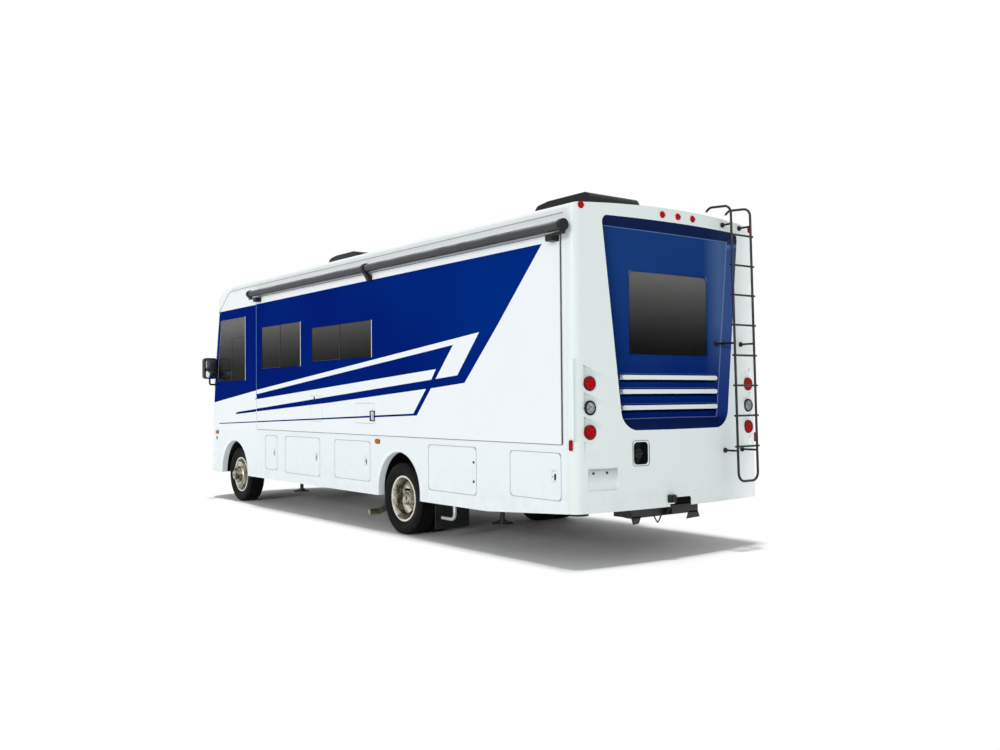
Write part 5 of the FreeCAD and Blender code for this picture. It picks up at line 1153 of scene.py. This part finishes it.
class MOTORHOME_OT_side_fittings(bpy.types.Operator):
    """Adds the side lamps, small vents, seals, drip rails and the hatches' latches"""

    bl_idname = "motorhome.side_fittings"
    bl_label = "Side lamps and seals"

    lamps = [around(0.434, 1.051, 0.052, 0.022), around(5.483, 1.046, 0.052, 0.022)]
    front_latch = (2.039, 1.562)
    rear_latch = (0.515, 1.350)

    def execute(self, context):
        self.add_lamps()
        self.add_slide_seals()
        self.add_drip_rails()
        self.add_hatch_fittings()
        return {"FINISHED"}

    def add_lamps(self):
        walls = [on_side(HALF_WIDTH, side) for side in SIDES]
        add_piece("side_lamps_amber", amber_lens, "coach", [
            pad(lamp, 0.018, wall, 0.0, 0.016, 0.008) for wall in walls for lamp in self.lamps],
            angle=30)
        add_piece("side_lamps_red", red_lens, "coach", [
            pad((-3.030, -2.990, 1.070, 1.168), 0.012, wall, 0.0, 0.014, 0.006) for wall in walls],
            angle=30)
        bases = [rim(lamp, 0.018, wall, 0.0, 0.005, 0.005, 0.0) for wall in walls
                 for lamp in self.lamps]
        vents = [pad((5.484, 5.512, 0.930, 0.982), 0.008, wall, 0.0, 0.008, 0.003)
                 for wall in walls]
        add_piece("side_lamp_bases", black_plastic, "coach", bases + vents, angle=30)

    def add_slide_seals(self):
        edge = rectangle(-2.896, 3.914, 1.125, 3.050)
        add_piece("slide_edge_seal", grey_rubber, "slide_out", [
            band(rounded(edge, 0.004, 2, 0.006), rounded(edge, 0.002, 2, 0.0002),
                 on_side(HALF_WIDTH, 1), 0.0012, 0.014)])
        add_piece("slide_front_trim", trim_blue, "slide_out", [
            pad((3.900, 3.911, 1.130, 3.045), 0.004, on_side(FASCIA_Y, 1), -0.001, 0.003,
                0.001, 2)])

    def add_drip_rails(self):
        """The gutter under the roof's edge, bent down to the front cap."""
        tube("drip_rails", grey_enamel, "coach", 0.005, [
            [(ahead(x), side * (HALF_WIDTH + 0.003), z)
             for x, z in ((-2.930, 3.236), (4.900, 3.236), (5.010, 3.205), (5.405, 2.935))]
            for side in SIDES])

    def add_hatch_fittings(self):
        """The small latch of the front hatch and the box on the rear hatch's edge."""
        wall = on_side(FASCIA_Y, 1)
        x, z = self.rear_latch
        add_piece("front_hatch_latch", black_plastic, "slide_hatch_front", [
            pad(around(*self.front_latch, 0.013, 0.027), 0.010, wall, 0.0, 0.006, 0.002)])
        add_piece("rear_hatch_frame", black_plastic, "slide_hatch_rear", [
            rim(around(x, z, 0.042, 0.050), 0.014, wall, 0.0, 0.012, 0.0, -0.011)])
        add_piece("rear_hatch_lock", bright_trim, "slide_hatch_rear", [
            pad(around(x, z, 0.030, 0.038), 0.004, wall, 0.0, 0.005, 0.002),
            pad(around(x + 0.002, z, 0.010, 0.032), 0.004, wall, 0.005, 0.012, 0.002)])


class MOTORHOME_OT_latches(bpy.types.Operator):
    """Adds the latches and edge lines of the bay doors, and the entry door's handle"""

    bl_idname = "motorhome.latches"
    bl_label = "Latches and handles"

    bays = ((3.237, 3.634, 0.560, 1.045), (1.924, 2.974, 0.545, 1.048),
            (0.614, 1.514, 0.565, 1.045), (-1.553, -0.658, 0.560, 1.052),
            (-2.871, -2.112, 0.606, 1.045))
    twin_lock_bay = 3

    def execute(self, context):
        for index, bounds in enumerate(self.bays):
            sides = [(1, "left_bay_door_" + str(index + 1))]
            if index in (1, 2, 3):
                sides.append((-1, "right_bay_door_" + str(index)))
            for side, body in sides:
                wall = on_side(HALF_WIDTH, side)
                if index == self.twin_lock_bay:
                    self.add_locks(body, wall, *bounds)
                else:
                    self.add_paddle(body, side, wall, *bounds)
                self.add_lines(body, wall, *bounds)
        self.add_entry_handle()
        return {"FINISHED"}

    def add_paddle(self, body, side, wall, x0, x1, z0, z1):
        x, z = x0 + 0.092, (z0 + z1) / 2
        place = on_side(HALF_WIDTH + 0.004, side)
        add_piece(body + "_latch", white_enamel, body, [
            rim(around(x + 0.001, z, 0.033, 0.052), 0.010, wall, 0.0, 0.011, 0.0, -0.005),
            pad(around(x + 0.015, z, 0.014, 0.047), 0.005, place, -0.004, 0.009, 0.002)])
        add_piece(body + "_slot", black_plastic, body, [
            pad((x - 0.026, x + 0.001, z - 0.030, z + 0.026), 0.004, place, -0.003, 0.0, 0.001),
            plate(disc(x + 0.015, z, 0.0065, 16), place, 0.009, 0.0105, 0.0005)])

    def add_locks(self, body, wall, x0, x1, z0, z1):
        add_piece(body + "_locks", black_plastic, body, [
            plate(disc(x0 + 0.046, z, 0.013, 18), wall, 0.0, 0.007, 0.002)
            for z in (z0 + 0.140, z0 + 0.337)])

    def add_lines(self, body, wall, x0, x1, z0, z1):
        """The door's edge seal and the pressed line inside it, clear of the hinge's bay wall."""
        for name, maker, gap, hinge_gap, radius in (
                ("_seal", grey_enamel, 0.005, 0.005, 0.052),
                ("_line", white_enamel, 0.024, 0.060, 0.035)):
            add_piece(body + name, maker, body, [
                rim((x0 + gap, x1 - hinge_gap, z0 + gap, z1 - gap), radius, wall, 0.0, 0.0012,
                    0.0, -0.007, 8)], "skirt_white")

    def add_entry_handle(self):
        x, z = 3.195, 1.350
        wall = on_side(HALF_WIDTH, -1)
        add_piece("entry_door_handle", black_plastic, "entry_door", [
            rim(around(x, z, 0.034, 0.075), 0.014, wall, 0.0, 0.010, 0.0, -0.008),
            pad(around(x - 0.010, z, 0.014, 0.062), 0.006, wall, 0.008, 0.016, 0.003)])


class MOTORHOME_OT_mirrors(bpy.types.Operator):
    """Adds the mirror glasses"""

    bl_idname = "motorhome.mirrors"
    bl_label = "Mirror glass"

    def execute(self, context):
        add_piece("mirror_faces", mirror_glass, "coach", [
            dome(bounds, radius, astern_of(5.464, side), rise) for side in SIDES
            for bounds, radius, rise in (((1.318, 1.478, 2.030, 2.198), 0.030, 0.008),
                                         ((1.318, 1.478, 1.912, 2.016), 0.024, 0.020))])
        return {"FINISHED"}


class MOTORHOME_OT_topper(bpy.types.Operator):
    """Winds the slide-out awning's vinyl round its roller"""

    bl_idname = "motorhome.topper"
    bl_label = "Slide-out awning"

    width = 0.900
    ends = (-3.010, 3.928)

    def execute(self, context):
        low, high = (ahead(x) for x in self.ends)
        turns = []
        radius, angle, wound = 0.0468, math.radians(96), 0.0
        step = math.radians(15)
        while wound < self.width:
            turns.append((radius, angle))
            wound += radius * step
            angle += step
            radius -= 0.00014 if radius > 0.042 else 0.0

        def fill(shape, columns=48):
            rows = []
            for i in range(columns + 1):
                x = low + (high - low) * i / columns
                sag = 0.0003 * math.sin(i * 1.7)
                rows.append([shape.verts.new((x, ROLLER_Y + (radius + sag) * math.cos(angle),
                                              ROLLER_Z + (radius + sag) * math.sin(angle)))
                             for radius, angle in turns])
            bridge(shape, rows, closed=False)

        roll = add_piece("topper_vinyl", topper_vinyl, "slide_out", [fill], angle=60)
        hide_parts("topper_fabric")
        high - low
        return {"FINISHED"}


class MOTORHOME_OT_seats(bpy.types.Operator):
    """Makes the padded cushions of the two cab seats"""

    bl_idname = "motorhome.seats"
    bl_label = "Cab seats"

    def execute(self, context):
        lean = Matrix.Rotation(math.radians(-12), 3, "Y")
        for side, label in ((1, "left"), (-1, "right")):
            base = Vector((ahead(4.420), side * 0.560, 1.430))
            seat = self.cushion("seat_" + label, base, (0.500, 0.500, 0.118), Matrix.Identity(3))
            middle = base + Vector((-0.190, 0, 0.095)) + lean @ Vector((-0.070, 0, 0.370))
            back = self.cushion("back_" + label, middle, (0.128, 0.500, 0.720), lean)
            if side == 1:
                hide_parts("seat_cushions")
        return {"FINISHED"}

    def cushion(self, label, centre, size, turn):
        """A crowned pad with pulled-in corners and two sewn channels."""
        thin = min(range(3), key=lambda k: size[k])
        cuts = 25

        def crown(direction):
            shares = [abs(direction[k]) for k in range(3) if k != thin]
            swell = (1 - shares[0] ** 4) * (1 - shares[1] ** 4)
            channel = math.exp(-((shares[0] - 0.34) / 0.03) ** 2)
            return 0.62 + 0.38 * swell ** 0.5 - 0.07 * channel

        def fill(shape):
            bmesh.ops.create_cube(shape, size=2.0)
            bmesh.ops.subdivide_edges(shape, edges=shape.edges, cuts=cuts, use_grid_fill=True)
            for vertex in shape.verts:
                direction = vertex.co.copy()
                soft = direction.lerp(direction.normalized() * 1.32, 0.22)
                soft[thin] = direction[thin] * crown(direction)
                vertex.co = centre + turn @ Vector(soft[k] * size[k] / 2 for k in range(3))
        return add_piece("cushion_" + label, seat_cloth, "coach", [fill], angle=50)


class MOTORHOME_OT_rear_fittings(bpy.types.Operator):
    """Adds the lamp rings, the ladder's ends and feet, the filler cap and the tow fittings"""

    bl_idname = "motorhome.rear_fittings"
    bl_label = "Rear fittings"

    def execute(self, context):
        self.add_lamp_parts()
        self.add_ladder_ends()
        self.add_pockets()
        self.add_hitch()
        return {"FINISHED"}

    def add_lamp_parts(self):
        """The rings of the six round lamps and the domes of the five roof markers."""
        dome_profile = [(0.0, 0.0335), (0.006, 0.0335), (0.006, 0.0305), (0.012, 0.0290),
                        (0.0165, 0.0210), (0.0185, 0.0110), (0.0190, 0.0008)]
        add_piece("roof_marker_domes", red_lens, "coach", [
            spin_astern(dome_profile, y, 3.296, 28, 0.002)
            for y in (-1.183, -0.213, 0.0, 0.213, 1.183)], angle=30)
        rings = []
        for z, inner in ((1.676, 0.0610), (1.455, 0.0500), (1.234, 0.0610)):
            ring = [(0.002, 0.0675), (0.012, 0.0675), (0.0165, 0.0645), (0.0165, inner + 0.002),
                    (0.0142, inner), (0.002, inner)]
            rings += [spin_astern(ring, side * 1.110, z, 48, closed=True) for side in SIDES]
        add_piece("rear_lamp_rings", black_rubber, "coach", rings)

    def add_ladder_ends(self):
        """The rungs' ends outside the rails, the feet, and the stay that reaches the sunk panel."""
        top_z, low_z = 3.470, 0.700
        top_x, low_x = REAR_WALL - 0.090, -3.2955
        outer, inner, stay_z = -0.980, -0.680, 2.084

        def rail_x(z):
            return ahead(top_x + (low_x - top_x) * (top_z - z) / (top_z - low_z))

        end = [(0.0, 0.0105), (0.022, 0.0105), (0.025, 0.0085), (0.0255, 0.001)]
        add_piece("ladder_rung_ends", ladder_paint, "coach", [
            spin(end, Vector((rail_x(z), y + side * 0.010, z)), LEFTWARD * side, AHEAD, 16)
            for z in (3.180, 2.871, 2.570, 2.267, 1.961, 1.658, 1.355, 1.047)
            for y, side in ((outer, -1), (inner, 1))])
        foot = [(0.0, 0.020), (0.003, 0.024), (0.012, 0.026), (0.022, 0.022), (0.029, 0.0125)]
        add_piece("ladder_feet", black_rubber, "coach", [
            spin_astern(foot, y, z, 24, RECESS_DEPTH if (y, z) == (inner, stay_z) else 0.0)
            for z in (3.287, stay_z, 1.005) for y in (outer, inner)])
        tube("ladder_long_stay", ladder_paint, "coach", 0.0105, [
            [on_rear(0.0)(inner, stay_z, 0.0), on_rear(RECESS_DEPTH)(inner, stay_z, 0.010)]])

    def add_pockets(self):
        """The fuel filler's rim and cap, and the ledge and screws of the plate's pocket."""
        face = on_rear(0.0)
        cap = [(0.0, 0.052), (0.014, 0.052), (0.018, 0.048), (0.018, 0.030), (0.017, 0.001)]
        add_piece("filler_rim", grey_rubber, "coach", [
            rim(FILLER_POCKET, 0.028, face, -0.006, 0.004, 0.007, -0.003)], "shell_white")
        add_piece("filler_cap", black_rubber, "coach", [
            spin_astern(cap, 0.520, 1.020, 32, 0.050),
            pad(around(0.520, 1.020, 0.046, 0.010), 0.006, on_rear(0.034), 0.0, 0.016, 0.003)])
        ledge = dense(rounded(rectangle(0.805, 1.132, 0.890, 0.899), 0.003, 2))
        add_piece("plate_ledge", grey_enamel, "coach", [plate(ledge, face, -0.002, 0.007, 0.002)])
        add_piece("plate_screws", black_plastic, "coach", [
            plate(disc(y, 0.861, 0.011, 16), on_rear(sunk), -0.002, 0.008, 0.002)
            for y, sunk in ((0.917, 0.0127), (1.072, 0.0082))])

    def add_hitch(self):
        """The tow plug's box, the hanging end tabs and the safety chain's loop."""
        face = on_rear(0.0)
        add_piece("tow_plug_box", black_plastic, "coach", [
            pad((0.098, 0.187, 0.540, 0.615), 0.010, face, -0.002, 0.040, 0.006),
            plate(disc(0.1425, 0.5775, 0.030, 28), face, 0.040, 0.052, 0.004)])
        tabs = [[Vector(spot) for spot in ((y0, 0.405), (y1, 0.405), (y1 - lean, 0.330),
                                           (y0 + lean, 0.338))]
                for y0, y1, lean in ((0.335, 0.470, 0.03), (-0.470, -0.335, -0.03))]
        add_piece("tow_bar_tabs", chassis_paint, "coach", [
            plate(tab, astern_of(-2.941), -0.008, 0.0, 0.002) for tab in tabs])
        shares = [(i - 12) / 12 for i in range(25)]
        tube("tow_chain_loop", chassis_paint, "coach", 0.007, [
            [(ahead(-2.945), 0.115 + 0.052 * share, 0.330 + 0.068 * abs(share) ** 1.3)
             for share in shares]])


class MOTORHOME_OT_front_fittings(bpy.types.Operator):
    """Adds the wipers on the windscreen"""

    bl_idname = "motorhome.front_fittings"
    bl_label = "Wipers"

    def execute(self, context):
        arms = [[self.on_screen(side * y, z, stand) for y, z, stand in
                 ((0.120, 1.600, 0.030), (0.250, 1.720, 0.045), (0.620, 2.120, 0.028))]
                for side in SIDES]
        blades = [[self.on_screen(side * (0.30 + 0.62 * i / 12), 2.02 + 0.20 * i / 12, 0.016)
                   for i in range(13)] for side in SIDES]
        tube("wiper_arms", black_plastic, "coach", 0.008, arms)
        tube("wiper_blades", black_rubber, "coach", 0.010, blades)
        return {"FINISHED"}

    def on_screen(self, y, z, stand):
        """A point just in front of the windscreen."""
        crown = 0.340
        radius = (HALF_WIDTH ** 2 + crown ** 2) / (2 * crown)
        levels = ((1.560, 0.046), (1.990, 0.074), (2.505, 0.185), (2.943, 0.274))
        setback = levels[0][1]
        for (z0, s0), (z1, s1) in zip(levels, levels[1:]):
            if z0 <= z <= z1:
                setback = s0 + (s1 - s0) * (z - z0) / (z1 - z0)
        nose = 6.134 - setback - radius
        return (ahead(nose + math.sqrt(radius ** 2 - y * y)) + stand, y, z)


OPERATORS = (
    MOTORHOME_OT_stage, MOTORHOME_OT_paint, MOTORHOME_OT_tyres, MOTORHOME_OT_wheel_fittings,
    MOTORHOME_OT_window_trim, MOTORHOME_OT_side_fittings, MOTORHOME_OT_latches,
    MOTORHOME_OT_mirrors, MOTORHOME_OT_topper, MOTORHOME_OT_seats, MOTORHOME_OT_rear_fittings,
    MOTORHOME_OT_front_fittings,
)
GROUPS = {"motorhome_paint": PaintSettings, "motorhome_wheel": WheelSettings,
          "motorhome_trim": TrimSettings, "motorhome_stage": StageSettings}


class MOTORHOME_PT_dressing(bpy.types.Panel):
    """Lists the settings and the pieces of the motorhome"""

    bl_idname = "MOTORHOME_PT_dressing"
    bl_label = "Motorhome"
    bl_space_type = "VIEW_3D"
    bl_region_type = "UI"
    bl_category = "Motorhome"

    def draw(self, context):
        for name, group in GROUPS.items():
            box = self.layout.box()
            for setting in group.__annotations__:
                box.prop(getattr(context.scene, name), setting)
        for operator in OPERATORS:
            self.layout.operator(operator.bl_idname)


CLASSES = (*GROUPS.values(), *OPERATORS, MOTORHOME_PT_dressing)


def register():
    for kind in CLASSES:
        bpy.utils.register_class(kind)
    for name, group in GROUPS.items():
        setattr(bpy.types.Scene, name, bpy.props.PointerProperty(type=group))


def unregister():
    for name in GROUPS:
        delattr(bpy.types.Scene, name)
    for kind in reversed(CLASSES):
        bpy.utils.unregister_class(kind)


def main():
    register()
    bpy.ops.motorhome.stage()
    bpy.ops.motorhome.paint()
    bpy.ops.motorhome.tyres()
    bpy.ops.motorhome.wheel_fittings()
    bpy.ops.motorhome.window_trim()
    bpy.ops.motorhome.side_fittings()
    bpy.ops.motorhome.latches()
    bpy.ops.motorhome.mirrors()
    bpy.ops.motorhome.topper()
    bpy.ops.motorhome.seats()
    bpy.ops.motorhome.rear_fittings()
    bpy.ops.motorhome.front_fittings()


if __name__ == "__main__":
    main()
